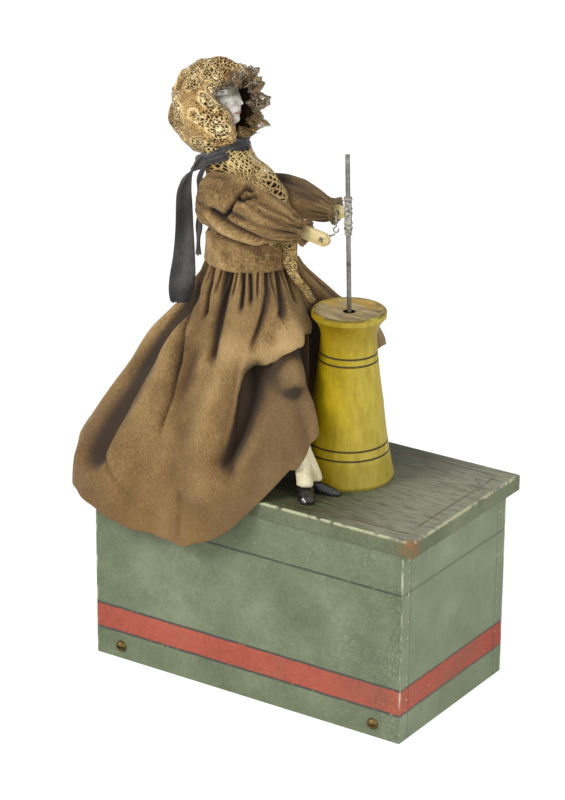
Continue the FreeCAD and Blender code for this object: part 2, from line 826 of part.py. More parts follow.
def plate_pillars():
    solids = []
    for x, z in pillar_places:
        body = rod_y(x, z, pillar_r, front_plate_y + plate_t, back_plate_y)
        stud = rod_y(x, z, pillar_stud_r, front_plate_y, back_face_y + nut_t + 0.3)
        solids.append(body.fuse(stud))
    return group(solids)


def pillar_nuts():
    solids = []
    for x, z in pillar_places:
        points = [polar(x, z, nut_r, 60.0 * k) for k in range(6)]
        nut = plate_from(points, back_face_y, back_face_y + nut_t)
        solids.append(nut.cut(rod_y(x, z, pillar_stud_r + seat_gap, back_face_y - 1, back_face_y + nut_t + 1)))
    return group(solids)


def movement_screws():
    solids = []
    z = bottom_t + plate_t
    for x, y in foot_screw_places():
        screw = rod_z(x, y, pillar_stud_r, bottom_t - foot_screw_bury, z)
        head = rod_z(x, y, pillar_stud_r + 1.0, z, z + 1.3)
        solids.append(screw.fuse(head).cut(block(x - 3, x + 3, y - 0.25, y + 0.25, z + 0.7, z + 2)))
    return group(solids)


def winding_key():
    """A key with two rounded wings on a tube with a square hole."""
    y0 = box_d / 2 + arbor_shoulder + soft_gap
    hub = rod_y(0, 0, key_hub_r, y0, y0 + key_hub_len)
    half = square_w / 2 + run_gap
    hub = hub.cut(block(-half, half, y0 - 1, box_d / 2 + key_reach + 0.3, -half, half))
    y1 = y0 + key_hub_len - 3.0
    x1 = key_wing_w / 2
    z1 = key_wing_h / 2
    half_t = key_wing_t / 2
    outline = Part.Wire([
        Part.LineSegment(V(-2.0, y1, -half_t), V(2.0, y1, -half_t)).toShape(),
        arc(V(2.0, y1, -half_t), V(x1 * 0.55, y1 - 1.5, -half_t), V(x1 * 0.85, y1, -half_t)),
        arc(V(x1 * 0.85, y1, -half_t), V(x1, y1 + z1, -half_t), V(x1 * 0.75, y1 + 2 * z1, -half_t)),
        arc(V(x1 * 0.75, y1 + 2 * z1, -half_t), V(0, y1 + z1 * 1.2, -half_t), V(-x1 * 0.75, y1 + 2 * z1, -half_t)),
        arc(V(-x1 * 0.75, y1 + 2 * z1, -half_t), V(-x1, y1 + z1, -half_t), V(-x1 * 0.85, y1, -half_t)),
        arc(V(-x1 * 0.85, y1, -half_t), V(-x1 * 0.55, y1 - 1.5, -half_t), V(-2.0, y1, -half_t)),
    ])
    wings = Part.Face(outline).extrude(V(0, 0, key_wing_t))
    return at(hub.fuse(wings), great_x, great_z)


# The doll's body

def figure_post():
    return rod_z(post_x, figure_y, post_r, box_h, block_hip_z + post_bury)


def torso_outline(grow):
    return [
        (post_x - 4.0 - grow, block_hip_z - grow),
        (post_x + 9.0 + grow, block_hip_z - grow),
        (post_x + 11.0 + grow, block_bend_z),
        (post_x + 1.0 + grow, block_top_z + grow),
        (post_x - 15.0 - grow, block_top_z + grow),
        (post_x - 11.0 - grow, block_bend_z),
    ]


def torso_block():
    y0, y1 = figure_y - block_half, figure_y + block_half
    body = plate_from(torso_outline(0), y0, y1)
    body = body.cut(rod_y(shoulder_x, shoulder_z, pin_r + seat_gap, y0 - 1, y1 + 1))
    return body.cut(rod_z(post_x, figure_y, post_r + seat_gap, block_hip_z - 1, block_hip_z + post_bury + 0.2))


def shoulder_pin():
    reach = arm_offset + arm_t / 2 + 0.9
    pin = rod_y(shoulder_x, shoulder_z, pin_r, figure_y - reach, figure_y + reach)
    for side in (-1, 1):
        end = figure_y + side * reach
        pin = pin.fuse(rod_y(shoulder_x, shoulder_z, pin_r + 0.6, end - 0.3, end + 0.3))
    return pin


def arm_blank(y, length, drop, grow):
    """A flat slat with round ends; grow widens it for the channel in the sleeve."""
    half = arm_h / 2 + grow
    y0, y1 = y - arm_t / 2 - grow, y + arm_t / 2 + grow
    slat = block(0, length - arm_h / 2, y0, y1, -half, half)
    slat = slat.fuse([rod_y(0, 0, half, y0, y1), rod_y(length - arm_h / 2, 0, half, y0, y1)])
    slat.rotate(V(0, 0, 0), V(0, 1, 0), drop)
    return at(slat, shoulder_x, shoulder_z)


def arm_point(length, drop):
    return polar(shoulder_x, shoulder_z, length, -drop)


def arm(y, length, drop):
    slat = arm_blank(y, length, drop, 0)
    slat = slat.cut(rod_y(shoulder_x, shoulder_z, pin_r + run_gap, y - 5, y + 5))
    x, z = arm_point(length - hand_hole_inset, drop)
    return slat.cut(rod_y(x, z, hand_hole_r, y - 5, y + 5))


def right_hand_wire():
    """A wire end through the near hand's hole, with a bead of solder outside."""
    x, z = arm_point(right_arm_len - hand_hole_inset, right_arm_drop)
    y = right_arm_y
    points = [V(x, y - 2.1, z), V(x, y - 1.7, z), V(x, y - 1.2, z)]
    points += [V(x + 0.3, y + 1.8, z + 0.2), V(x + 4.2, y + 2.6, z + 2.2)]
    return tube(points, [0.3, 1.6 * wire_r, wire_r, wire_r, wire_r], 8)


def left_hand_wire():
    """A wire through the far hand that hangs down in front of it and ends in a bent eye."""
    x, z = arm_point(left_arm_len - hand_hole_inset, left_arm_drop)
    y = left_arm_y
    low = V(x + 1.6, y - 4.0, z - 5.0)
    points = [V(x, y + 1.9, z), V(x, y + 1.5, z), V(x, y + 1.0, z), V(x, y - 2.0, z - 0.2), low]
    radii = [0.3, 1.6 * wire_r, wire_r, wire_r, wire_r]
    eye_turn = 1.1
    facing = V(0.35, -0.85, 0.3)
    facing.normalize()
    up = V(0, 0, 1) - facing * facing.z
    up.normalize()
    across = facing.cross(up)
    centre = low - up * (eye_turn + 0.1)
    for k in range(1, 10):
        a = math.radians(34.0 * k)
        points.append(centre + (up * math.cos(a) + across * math.sin(a)) * eye_turn)
        radii.append(0.8 * wire_r)
    return tube(points, radii, 8)


def turned_head():
    """Head and neck as one turned form with a nose and chin; the neck stands on the torso block."""
    egg = [(0.28, -1.0), (0.60, -0.82), (0.84, -0.55), (0.97, -0.22), (1.0, 0.08)]
    egg += [(0.93, 0.42), (0.76, 0.68), (0.47, 0.9), (0.12, 0.995)]
    head = turned([(head_r * r, head_h * z) for r, z in egg], 24)
    nose = tube([V(head_r - 1.4, 0, -0.6), V(head_r + 2.1, 0, -1.5)], [1.9, 0.7], 8)
    chin = tube([V(head_r - 4.8, 0, -7.4), V(head_r - 2.2, 0, -7.6), V(head_r - 0.8, 0, -7.8)], [2.4, 2.1, 1.0], 8)
    head = head.fuse([nose, chin])
    head.rotate(V(0, 0, 0), V(0, 1, 0), -head_back)
    head.rotate(V(0, 0, 0), V(0, 0, 1), head_turn)
    head.translate(V(head_x, figure_y, head_z))
    return head


def neck(grow):
    low = V(head_x + 6.0, figure_y, block_top_z - 3)
    return rod_between(low, V(head_x, figure_y, head_z - 6), neck_r + grow)


def head():
    shape = turned_head().fuse(neck(0))
    shape = shape.cut(block(-80, 20, -40, 40, block_top_z - 20, block_top_z))
    return shape.removeSplitter()


# The doll's clothes, as plain closed forms

def place_bonnet(shape):
    shape.translate(V(-bonnet_back, 0, -bonnet_drop))
    shape.rotate(V(0, 0, 0), V(0, 0, 1), head_turn)
    shape.translate(V(head_x, figure_y, head_z))
    return shape


def bonnet_form(inset):
    """Ovals from the crown at the back to the open rim at the front."""
    rows = [(-16.5, 4.0, 7.0), (-13.5, 8.6, 14.0), (-8.0, 11.4, 18.5), (0.0, 12.6, 21.0), (8.0, 12.9, 20.5)]
    wires = [oval_x(x + inset, 0, 0, ry - inset, rz - inset) for x, ry, rz in rows]
    wires.append(oval_x(14.0 + 2 * inset, 0, 0, 13.2 - inset, 19.5 - inset))
    return skin(wires)


def above_ribbon(clear):
    """The half space over the slanted ribbon."""
    half = block(-60, 60, -60, 60, 0, 80)
    half.rotate(V(0, 0, 0), V(0, 1, 0), -ribbon_slope)
    rise = (ribbon_h / 2 + clear) / math.cos(math.radians(ribbon_slope))
    half.translate(V(ribbon_x, figure_y, ribbon_z + rise))
    return half


def bonnet():
    shell = place_bonnet(bonnet_form(0).cut(bonnet_form(cloth_t)))
    return shell.common(above_ribbon(soft_gap))


def bonnet_frill():
    """The gathered lace round the open rim: scallops outside, a plain oval inside."""
    count = 14
    x = 14.3

    def spot(k, ry, rz):
        a = 2 * math.pi * k / count
        return V(x, ry * math.cos(a), rz * math.sin(a))
    valleys = [spot(k, 14.6, 20.8) for k in range(count)]
    crests = [spot(k + 0.5, 17.0, 23.0) for k in range(count)]
    ring = Part.Face(lobed_ring(valleys, crests)).extrude(V(2.2, 0, 0))
    hole = Part.Face(oval_x(x - 1, 0, 0, 11.9, 18.2)).extrude(V(5, 0, 0))
    frill = place_bonnet(ring.cut(hole))
    return frill.common(above_ribbon(soft_gap))


def neck_ribbon():
    soft = 0.9
    half = ribbon_h / 2
    ring = turned([(ribbon_r - soft, -half), (ribbon_r, soft - half), (ribbon_r, half - soft), (ribbon_r - soft, half)], 36)
    ring.rotate(V(0, 0, 0), V(0, 1, 0), -ribbon_slope)
    ring.translate(V(ribbon_x, figure_y, ribbon_z))
    return ring.cut(neck(soft_gap))


def ribbon_tail():
    """A length of ribbon that leaves the neck ribbon, turns over and hangs behind the near shoulder."""
    top = V(tail_x, tail_y, tail_z)
    away = V(tail_x - ribbon_x, tail_y - figure_y, 0)
    away.normalize()
    start = V(ribbon_x, figure_y, ribbon_z) + away * (ribbon_r + soft_gap)
    start.z += away.x * ribbon_r * math.tan(math.radians(ribbon_slope))
    turn = math.radians(tail_turn)

    def end(centre, across, thick):
        corners = [centre + across * a + thick * b for a, b in ((-1, -1), (1, -1), (1, 1), (-1, 1))]
        return Part.makePolygon(corners + [corners[0]])
    across = V(math.cos(turn), math.sin(turn), 0) * (tail_w / 2)
    thick = V(-math.sin(turn), math.cos(turn), 0) * (tail_t / 2)
    first = end(start, V(-away.y, away.x, 0) * (tail_w / 2), V(0, 0, -tail_t / 2))
    bend = Part.makeLoft([first, end(top, across, thick)], True, True)
    return bend.fuse(Part.Face(end(top, across, thick)).extrude(V(0, 0, -tail_len)))


def bodice_rows(grow):
    rows = [
        (figure_x, waist_z + waistband_h + soft_gap, waist_rx - 0.5, 15.5),
        (figure_x + 0.5, waist_z + 14.0, 18.6, 9.5),
        (figure_x + 0.2, shoulder_z - 10.5, 19.0, 6.4),
        (figure_x - 0.5, shoulder_z + 0.5, 19.0, 6.3),
        (figure_x - 3.0, block_top_z - 1.0, 16.5, 6.5),
        (figure_x - 9.0, block_top_z + 7.0, 11.5, 7.5),
        (figure_x - 12.5, block_top_z + 14.0, 8.0, 7.5),
    ]
    return [oval_z(x, figure_y, rx + grow, ry + grow, z) for x, z, rx, ry in rows]


def bodice():
    body = skin(bodice_rows(0))
    y0, y1 = figure_y - block_half - soft_gap, figure_y + block_half + soft_gap
    body = body.cut(plate_from(torso_outline(soft_gap), y0, y1))
    body = body.cut(rod_y(shoulder_x, shoulder_z, pin_r + soft_gap, figure_y - 20, figure_y + 20))
    body = body.cut(neck(soft_gap))
    below = above_ribbon(-ribbon_h - soft_gap)
    return body.cut(below)


def fichu():
    """The open lace scarf over the chest, from the neck down to the waist."""
    outer = skin(bodice_rows(1.1)).cut(skin(bodice_rows(soft_gap)))
    keep = block(post_x, churn_x, figure_y - 6.4, figure_y + 6.4, waist_z + 16.5, block_top_z + 13.0)
    return outer.common(keep).cut(above_ribbon(-ribbon_h - soft_gap))


def fichu_tail():
    """The narrow lace end that hangs over the waistband and the skirt's front."""
    lace_t = 0.9
    x = figure_x + waist_rx + 0.5
    top = waist_z + waistband_h + 5.8
    level_up, level_x, reaches = skirt_levels[1]
    reach = level_x + reaches[1] + gather_depth + fold_depth / 2 + soft_gap
    part_way = 0.75
    low_x = x + part_way * (reach - x)
    low_z = waist_z + part_way * (lid_z + level_up - waist_z)
    points = [(x, top), (x + lace_t, top), (x + lace_t, waist_z), (low_x + lace_t, low_z), (low_x, low_z), (x, waist_z)]
    return plate_from(points, figure_y - 8.0, figure_y - 2.5)


def waistband():
    """The band with the stuffed waist inside it, cut out for the torso block."""
    band = skin([oval_z(figure_x, figure_y, waist_rx, waist_ry, z) for z in (waist_z, waist_z + waistband_h)])
    y0, y1 = figure_y - block_half - soft_gap, figure_y + block_half + soft_gap
    return band.cut(plate_from(torso_outline(soft_gap), y0, y1))


def reach_at(angle, reaches):
    """Distance from the skirt's axis, eased between the named directions."""
    n = len(skirt_angles)
    for k in range(n):
        a = skirt_angles[k]
        b = skirt_angles[(k + 1) % n] + (360.0 if k == n - 1 else 0.0)
        turned = angle if angle >= skirt_angles[0] else angle + 360.0
        if a <= turned <= b:
            t = (turned - a) / (b - a)
            ease = (1 - math.cos(math.pi * t)) / 2
            return reaches[k] + (reaches[(k + 1) % n] - reaches[k]) * ease
    return reaches[0]


def skirt_ring(level, inset):
    up, cx, reaches = level
    z = lid_z + up
    fold = gather_depth + fold_depth * min(1.0, (waist_z - z) / 30.0)

    ring = []
    for k in range(skirt_facets * skirt_folds):
        angle = skirt_first_fold + 360.0 * k / (skirt_facets * skirt_folds)
        part_way = (k % skirt_facets) / skirt_facets
        out = fold * 4 * part_way * (1 - part_way)
        r = reach_at(angle, reaches) - inset + out
        a = math.radians(angle)
        ring.append(V(cx + r * math.cos(a), figure_y + r * math.sin(a), z))
    return ring


def skirt_form(inset):
    return faceted([skirt_ring(level, inset) for level in skirt_levels])


def skirt():
    """The gathered skirt: a folded shell, lifted at the right over the knees, low at the front and left."""
    shell = skirt_form(0).cut(skirt_form(cloth_t))
    shell = shell.cut(block(-150, 150, -150, 150, 0, skirt_hem_z))
    z_at = [hem_rise + hem_slope_x * x - hem_slope_y * 150 for x in (-150, 150)]
    wedge = Part.Face(Part.makePolygon([
        V(-150, -150, z_at[0]), V(150, -150, z_at[1]), V(150, -150, -400), V(-150, -150, -400), V(-150, -150, z_at[0]),
    ])).extrude(V(0, 300, 300 * hem_slope_y))
    return shell.cut(wedge)


def sleeve(y, drop, side):
    """A puffed sleeve gathered at the shoulder and at the cuff, along the arm."""
    cy = figure_y + side * (arm_offset + 4.0)
    rows = [
        (-11.5, 3.5, 6.0), (-8.0, 6.6, 10.5), (0.0, 7.9, 13.0), (10.0, 7.9, 12.8),
        (22.0, 7.3, 9.6), (31.0, 5.6, 6.8), (35.5, 4.2, 4.6), (38.0, 4.8, 5.4),
    ]
    wires = []
    for x, ry, rz in rows:
        centre = cy + (y - cy) * max(0.0, (x - 10.0) / 28.0)
        wires.append(oval_x(x, centre, 0, ry, rz))
    form = skin(wires)
    form.rotate(V(0, 0, 0), V(0, 1, 0), drop)
    form = at(form, shoulder_x, shoulder_z)
    form = form.cut(arm_blank(y, 80.0, drop, 0.15))
    inner = y - side * (arm_t / 2 + 4.0)
    outer = y + side * (arm_t / 2 + 1.8)
    return form.cut(rod_y(shoulder_x, shoulder_z, pin_r + 0.6 + soft_gap, min(inner, outer), max(inner, outer)))


def leg(hip, knee, ankle):
    """A thigh and a shin that meet in a round knee; the stocking's edge flares over the shoe."""
    up = hip - knee
    up.normalize()
    down = ankle - knee
    down.normalize()
    points = [hip + up * 2.6, hip + up * 1.4, hip, knee + up * leg_r, knee, knee + down * leg_r, ankle, ankle - V(0, 0, 1)]
    wide = [leg_r - 1.8, leg_r - 0.7, leg_r - 0.3, leg_r + 0.3, leg_r + 0.4, leg_r + 0.2, leg_r - 0.5, leg_r - 0.2]
    return tube(points, wide, 14)


def shoe(ankle, heading, length, width):
    """A low shoe with a round toe, its sole on the lid."""
    wires = []
    rows = [(-2.6, 0.62, 0.7), (0.0, 1.0, 1.0), (length * 0.45, 1.0, 0.72), (length * 0.8, 0.8, 0.5), (length, 0.35, 0.3)]
    for x, wide, high in rows:
        half = width / 2 * wide
        top = shoe_h * high
        wires.append(Part.Wire([
            Part.LineSegment(V(x, -half, 0), V(x, half, 0)).toShape(),
            arc(V(x, half, 0), V(x, half * 0.8, top * 0.8), V(x, 0, top)),
            arc(V(x, 0, top), V(x, -half * 0.8, top * 0.8), V(x, -half, 0)),
        ]))
    form = skin(wires)
    form.rotate(V(0, 0, 0), V(0, 0, 1), heading)
    form.translate(V(ankle.x, ankle.y, lid_z))
    return form.cut(block(-60, 60, -60, 60, ankle.z - 1.0, 150))


right_ankle = V(churn_x - 0.5, churn_y - churn_base_r - 10.9, ankle_z)
left_ankle = V(churn_x - 0.8, churn_y - churn_base_r - 3.7, ankle_z)
right_knee = V(figure_x + 27.5, figure_y - 19.1, knee_z)
left_knee = V(figure_x + 20.5, figure_y - 13.6, knee_z - knee_step)
right_hip = V(figure_x + 4.0, figure_y - 5.6, hip_z)
left_hip = V(figure_x + 4.0, figure_y + 5.0, hip_z)


def build():
    save("front_board", front_board())
    save("back_board", back_board())
    save("left_end_board", end_board(-1))
    save("right_end_board", end_board(1))
    save("top_board", top_board())
    save("bottom_board", bottom_board())
    save("base_screws", base_screws())
    save("lid_nails", lid_nails())
    save("churn_body", churn_body())
    save("churn_screws", churn_screws())
    save("dasher_rod", dasher_rod())
    save("dasher_eye", dasher_eye())
    save("rod_binding", rod_binding())
    save("front_plate", movement_plate(front_plate_y))
    save("back_plate", movement_plate(back_plate_y))
    save("plate_pillars", plate_pillars())
    save("pillar_nuts", pillar_nuts())
    save("movement_screws", movement_screws())
    save("great_wheel", great_wheel())
    save("ratchet_wheel", ratchet_wheel())
    save("click", click())
    save("click_screw", click_screw())
    save("click_spring", click_spring())
    save("winding_arbor", winding_arbor())
    save("mainspring", mainspring())
    save("second_arbor", second_arbor())
    save("second_wheel", second_wheel())
    save("crank_arbor", crank_arbor())
    save("crank_wheel", crank_wheel())
    save("crank_disc", crank_disc())
    save("crank_pin", crank_pin())
    save("fly_arbor", fly_arbor())
    save("fly_vane", fly_vane())
    save("winding_key", winding_key())
    save("figure_post", figure_post())
    save("torso_block", torso_block())
    save("shoulder_pin", shoulder_pin())
    save("right_arm", arm(right_arm_y, right_arm_len, right_arm_drop))
    save("left_arm", arm(left_arm_y, left_arm_len, left_arm_drop))
    save("right_hand_wire", right_hand_wire())
    save("left_hand_wire", left_hand_wire())
    save("head", head())
    save("bonnet", bonnet())
    save("bonnet_frill", bonnet_frill())
    save("neck_ribbon", neck_ribbon())
    save("ribbon_tail", ribbon_tail())
    save("bodice", bodice())
    save("fichu", fichu())
    save("fichu_tail", fichu_tail())
    save("waistband", waistband())
    save("skirt", skirt())
    save("right_sleeve", sleeve(right_arm_y, right_arm_drop, -1))
    save("left_sleeve", sleeve(left_arm_y, left_arm_drop, 1))
    save("right_leg", leg(right_hip, right_knee, right_ankle))
    save("left_leg", leg(left_hip, left_knee, left_ankle))
    save("right_shoe", shoe(right_ankle, -50.0, 8.5, 6.6))
    save("left_shoe", shoe(left_ankle, 9.0, 11.5, 4.4))


build()
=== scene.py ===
# %% [markdown]
# # A clockwork butter churn toy
# A doll in a lace bonnet and a brown dress works the dasher of a yellow churn on a painted wooden box. The
# solids of the toy are loaded first and stay as they are. What is cloth, lace, ribbon or paint is made here.
# The frame is in metres: +X runs along the box to the churn, +Y to the back, +Z up. Shapes and paint are
# worked out in millimetres and brought to metres at the very end, so that their numbers are easy to read.

# %% The fixed frame
import bpy
import math
import numpy as np
from mathutils import Matrix, Vector


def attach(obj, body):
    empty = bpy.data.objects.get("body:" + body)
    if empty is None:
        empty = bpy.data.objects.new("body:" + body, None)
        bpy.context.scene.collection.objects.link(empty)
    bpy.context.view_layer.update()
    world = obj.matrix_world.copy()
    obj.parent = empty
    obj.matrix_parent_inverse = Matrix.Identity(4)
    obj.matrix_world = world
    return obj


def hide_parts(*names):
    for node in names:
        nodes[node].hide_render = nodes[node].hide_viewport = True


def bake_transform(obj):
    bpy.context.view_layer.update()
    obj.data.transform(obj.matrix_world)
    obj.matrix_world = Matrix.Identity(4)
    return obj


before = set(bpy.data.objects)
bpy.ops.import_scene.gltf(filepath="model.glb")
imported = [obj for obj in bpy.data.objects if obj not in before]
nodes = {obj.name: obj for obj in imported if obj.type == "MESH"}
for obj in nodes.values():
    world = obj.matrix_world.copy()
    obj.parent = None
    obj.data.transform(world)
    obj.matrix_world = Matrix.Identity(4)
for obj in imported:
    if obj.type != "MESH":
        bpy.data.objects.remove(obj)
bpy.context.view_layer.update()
mm = 0.001

# %% [markdown]
# ## Camera
# The place, turn and lens were worked out from the corners of the box, whose sizes are known. A long lens
# from over a metre away keeps the box's edges almost parallel, as in the picture.

# %% Camera
camera_data = bpy.data.cameras.new("camera")
camera = bpy.data.objects.new("camera", camera_data)
bpy.context.scene.collection.objects.link(camera)
camera_turn = Matrix.Rotation(math.radians(33.391), 4, "Z")
camera_tilt = Matrix.Rotation(math.radians(90 - 21.494), 4, "X")
camera_roll = Matrix.Rotation(math.radians(0.480), 4, "Z")
camera_place = Matrix.Translation((0.65156, -1.00207, 0.59036))
camera.matrix_world = camera_place @ camera_turn @ camera_tilt @ camera_roll
camera_data.sensor_width = 36
camera_data.lens = 139.56
camera_data.clip_end = 20
bpy.context.scene.camera = camera

# %% [markdown]
# ## Nodes
# The light, the floor and every material are small trees of nodes. One function adds a node of any kind and
# gives each of its sockets a value or a link.

# %% Nodes


def fresh_tree(data):
    """The empty node tree of a material or of the world."""
    data.use_nodes = True
    data.node_tree.nodes.clear()
    return data.node_tree


def add_node(tree, kind, settings=None, sockets=()):
    """Any node: its settings first, then the values or links of its sockets, by number or name."""
    made = tree.nodes.new(kind)
    for key, value in (settings or {}).items():
        setattr(made, key, value)
    for key, value in sockets.items() if isinstance(sockets, dict) else enumerate(sockets):
        value = getattr(value, "socket", value)
        if isinstance(value, bpy.types.NodeSocket):
            tree.links.new(value, made.inputs[key])
        else:
            made.inputs[key].default_value = value
    return made


# %% [markdown]
# ## Studio
# A pale floor and a level, soft light. A large lamp stands at the front left, so the long front of the box is
# a little lighter than its end. The light path makes the background white only to the camera, in reflections
# and behind clear things, and it puts no more light on the toy.

# %% Studio
scene = bpy.context.scene
scene.view_settings.view_transform = "Standard"
scene.world = bpy.data.worlds.new("studio")
sky = fresh_tree(scene.world)
ray = add_node(sky, "ShaderNodeLightPath").outputs
largest = {"operation": "MAXIMUM"}
seen = add_node(sky, "ShaderNodeMath", largest, [ray["Is Camera Ray"], ray["Is Glossy Ray"]])
clear = add_node(sky, "ShaderNodeMath", largest, [seen.outputs[0], ray["Is Transmission Ray"]])
dim = add_node(sky, "ShaderNodeBackground", None, {"Color": (1, 0.99, 0.97, 1), "Strength": 0.42})
white = add_node(sky, "ShaderNodeBackground")
sky_mix = add_node(sky, "ShaderNodeMixShader", None, [clear.outputs[0], dim.outputs[0], white.outputs[0]])
add_node(sky, "ShaderNodeOutputWorld", None, [sky_mix.outputs[0]])


def lamp(name, place, aim, size, power):
    data = bpy.data.lights.new(name, "AREA")
    data.size = size
    data.energy = power
    light = bpy.data.objects.new(name, data)
    scene.collection.objects.link(light)
    light.location = place
    light.rotation_euler = (Vector(aim) - Vector(place)).to_track_quat("-Z", "Y").to_euler()


toy_middle = (0, 0, 0.12)
lamp("key", (-0.75, -1.2, 1.1), toy_middle, 0.7, 17.5)
lamp("fill", (1.5, -0.55, 0.8), toy_middle, 0.9, 13)

# %% Floor
bpy.ops.object.select_all(action="DESELECT")
bpy.ops.mesh.primitive_plane_add(size=8, location=(0, 0, 0))
floor = bpy.context.object
floor.name = "floor"
floor_white = bpy.data.materials.new("floor_white")
floor.data.materials.append(floor_white)
tree = fresh_tree(floor_white)
seen = add_node(tree, "ShaderNodeLightPath").outputs["Is Camera Ray"]
share = add_node(tree, "ShaderNodeMath", {"operation": "MULTIPLY"}, [seen, 0.82])
matt = add_node(tree, "ShaderNodeBsdfDiffuse", None, {"Color": (0.93, 0.93, 0.92, 1)})
glow = add_node(tree, "ShaderNodeEmission", None, {"Strength": 1.15})
floor_mix = add_node(tree, "ShaderNodeMixShader", None, [share.outputs[0], matt.outputs[0], glow.outputs[0]])
add_node(tree, "ShaderNodeOutputMaterial", None, [floor_mix.outputs[0]])

# %% [markdown]
# ## Shader maths
# A number that varies over a surface is the output of a shader node. The class below wraps such an output, so
# that a mask is written as an expression, and each sign adds its own Math node.

# %% Shader maths


class Number:
    """A shader output that can be added, multiplied and compared."""

    def __init__(self, finish, socket):
        self.finish = finish
        self.socket = socket

    def do(self, operation, *others, clamp=False):
        settings = {"operation": operation, "use_clamp": clamp}
        return Number(self.finish, self.finish.node("ShaderNodeMath", settings, [self, *others]).outputs[0])

    def __add__(self, other):
        return self.do("ADD", other)

    def __mul__(self, other):
        return self.do("MULTIPLY", other)

    def __sub__(self, other):
        return self.do("SUBTRACT", other)

    def __rsub__(self, other):
        return (self * -1) + other

    __radd__ = __add__
    __rmul__ = __mul__

    def size(self):
        return self.do("ABSOLUTE")

    def over(self, low, high):
        """0 below low, 1 above high, even between. With high below low it falls instead."""
        if low > high:
            return 1 - self.over(high, low)
        return ((self - low) * (1.0 / (high - low))).do("ADD", 0, clamp=True)

    def near(self, value, half, soft):
        """1 within half of value, fading over soft."""
        return (self - value).size().over(half + soft, half)

    def most(self, other):
        return self.do("MAXIMUM", other)

    def least(self, other):
        return self.do("MINIMUM", other)


# %% [markdown]
# ## Finishes
# A finish is a material with one main shader. Its colour is built as a painter builds it: a first coat that
# wanders between a few tones, then thinner coats where a mask says so. Lengths are in millimetres, and the
# scales of the noises and cells say how many there are to a metre.

# %% Finishes


def paint(colour):
    """A colour as seen on a screen, 0 to 255, as the shader's own numbers. A socket is handed on as it is."""
    if isinstance(colour, bpy.types.NodeSocket):
        return colour
    shares = [c / 255 for c in colour]
    return (*[c / 12.92 if c <= 0.04045 else ((c + 0.055) / 1.055) ** 2.4 for c in shares], 1)


class Finish:
    """A material under construction: its shader, the nodes that feed it and the colour so far."""

    def __init__(self, name, roughness=0.6, **constants):
        self.material = bpy.data.materials.new(name)
        self.tree = fresh_tree(self.material)
        self.shader = self.node("ShaderNodeBsdfPrincipled", None, {"Roughness": roughness})
        self.node("ShaderNodeOutputMaterial", None, [self.shader.outputs[0]])
        for key, value in constants.items():
            self.shader.inputs[key.replace("_", " ")].default_value = value
        where = self.node("ShaderNodeTexCoord")
        self.place = where.outputs["Object"]
        self.uv = where.outputs["UV"]
        self.colour = None

    def node(self, kind, settings=None, sockets=()):
        return add_node(self.tree, kind, settings, sockets)

    def axes(self, source=None):
        """x, y and z in millimetres."""
        made = self.node("ShaderNodeSeparateXYZ", None, [source or self.place])
        return [Number(self, made.outputs[k]) * (1 / mm) for k in range(3)]

    def stretched(self, scale, turn=(0, 0, 0), source=None):
        sockets = {"Vector": source or self.place, "Scale": scale, "Rotation": turn}
        return self.node("ShaderNodeMapping", None, sockets).outputs[0]

    def noise(self, scale, detail=3, rough=0.55, stretch=None, source=None):
        at = self.stretched(stretch, source=source) if stretch else (source or self.place)
        sockets = {"Vector": at, "Scale": scale, "Detail": detail, "Roughness": rough}
        return Number(self, self.node("ShaderNodeTexNoise", None, sockets).outputs[0])

    def cells(self, scale, feature="F1", source=None):
        sockets = {"Vector": source or self.place, "Scale": scale}
        made = self.node("ShaderNodeTexVoronoi", {"feature": feature}, sockets)
        return Number(self, made.outputs["Distance"])

    def attribute(self, name):
        return Number(self, self.node("ShaderNodeAttribute", {"attribute_name": name}).outputs["Fac"])

    def ramp(self, value, tones):
        """A colour for each stop of the value, and even steps between them."""
        made = self.node("ShaderNodeValToRGB", None, [value])
        stops = made.color_ramp.elements
        while len(stops) < len(tones):
            stops.new(0.5)
        for stop, (at, colour) in zip(stops, tones.items()):
            stop.position = at
            stop.color = paint(colour)
        return made.outputs[0]

    def mix(self, mask, below, above):
        """The colour above where the mask is 1. The node counts its colour sockets from 6."""
        sockets = {0: mask, 6: paint(below), 7: paint(above)}
        return self.node("ShaderNodeMix", {"data_type": "RGBA"}, sockets).outputs[2]

    def first(self, colour):
        self.colour = colour
        self.tree.links.new(colour, self.shader.inputs["Base Color"])

    def coat(self, mask, colour):
        """One more colour over those so far, where the mask is 1."""
        self.first(self.mix(mask, self.colour, colour))

    def feed(self, name, value):
        self.tree.links.new(value.socket, self.shader.inputs[name])

    def bump(self, height, distance, strength):
        sockets = {"Height": height, "Distance": distance * mm, "Strength": strength}
        made = self.node("ShaderNodeBump", None, sockets)
        self.tree.links.new(made.outputs[0], self.shader.inputs["Normal"])


def wear(node_names, finish):
    """Gives solids of the frame their finish."""
    for name in node_names:
        mesh = nodes[name].data
        mesh.materials.clear()
        mesh.materials.append(finish.material)


# %% [markdown]
# ## Box paint
# The box is pine under flat sage green oil paint. A red band with thin dark edges runs round it low down, and
# one dark line runs higher up. The paint is rubbed through along the corners and has fine cracks near the
# right end of the front. All of it is placed by height and by distance from the edges, so it meets at the
# corners.

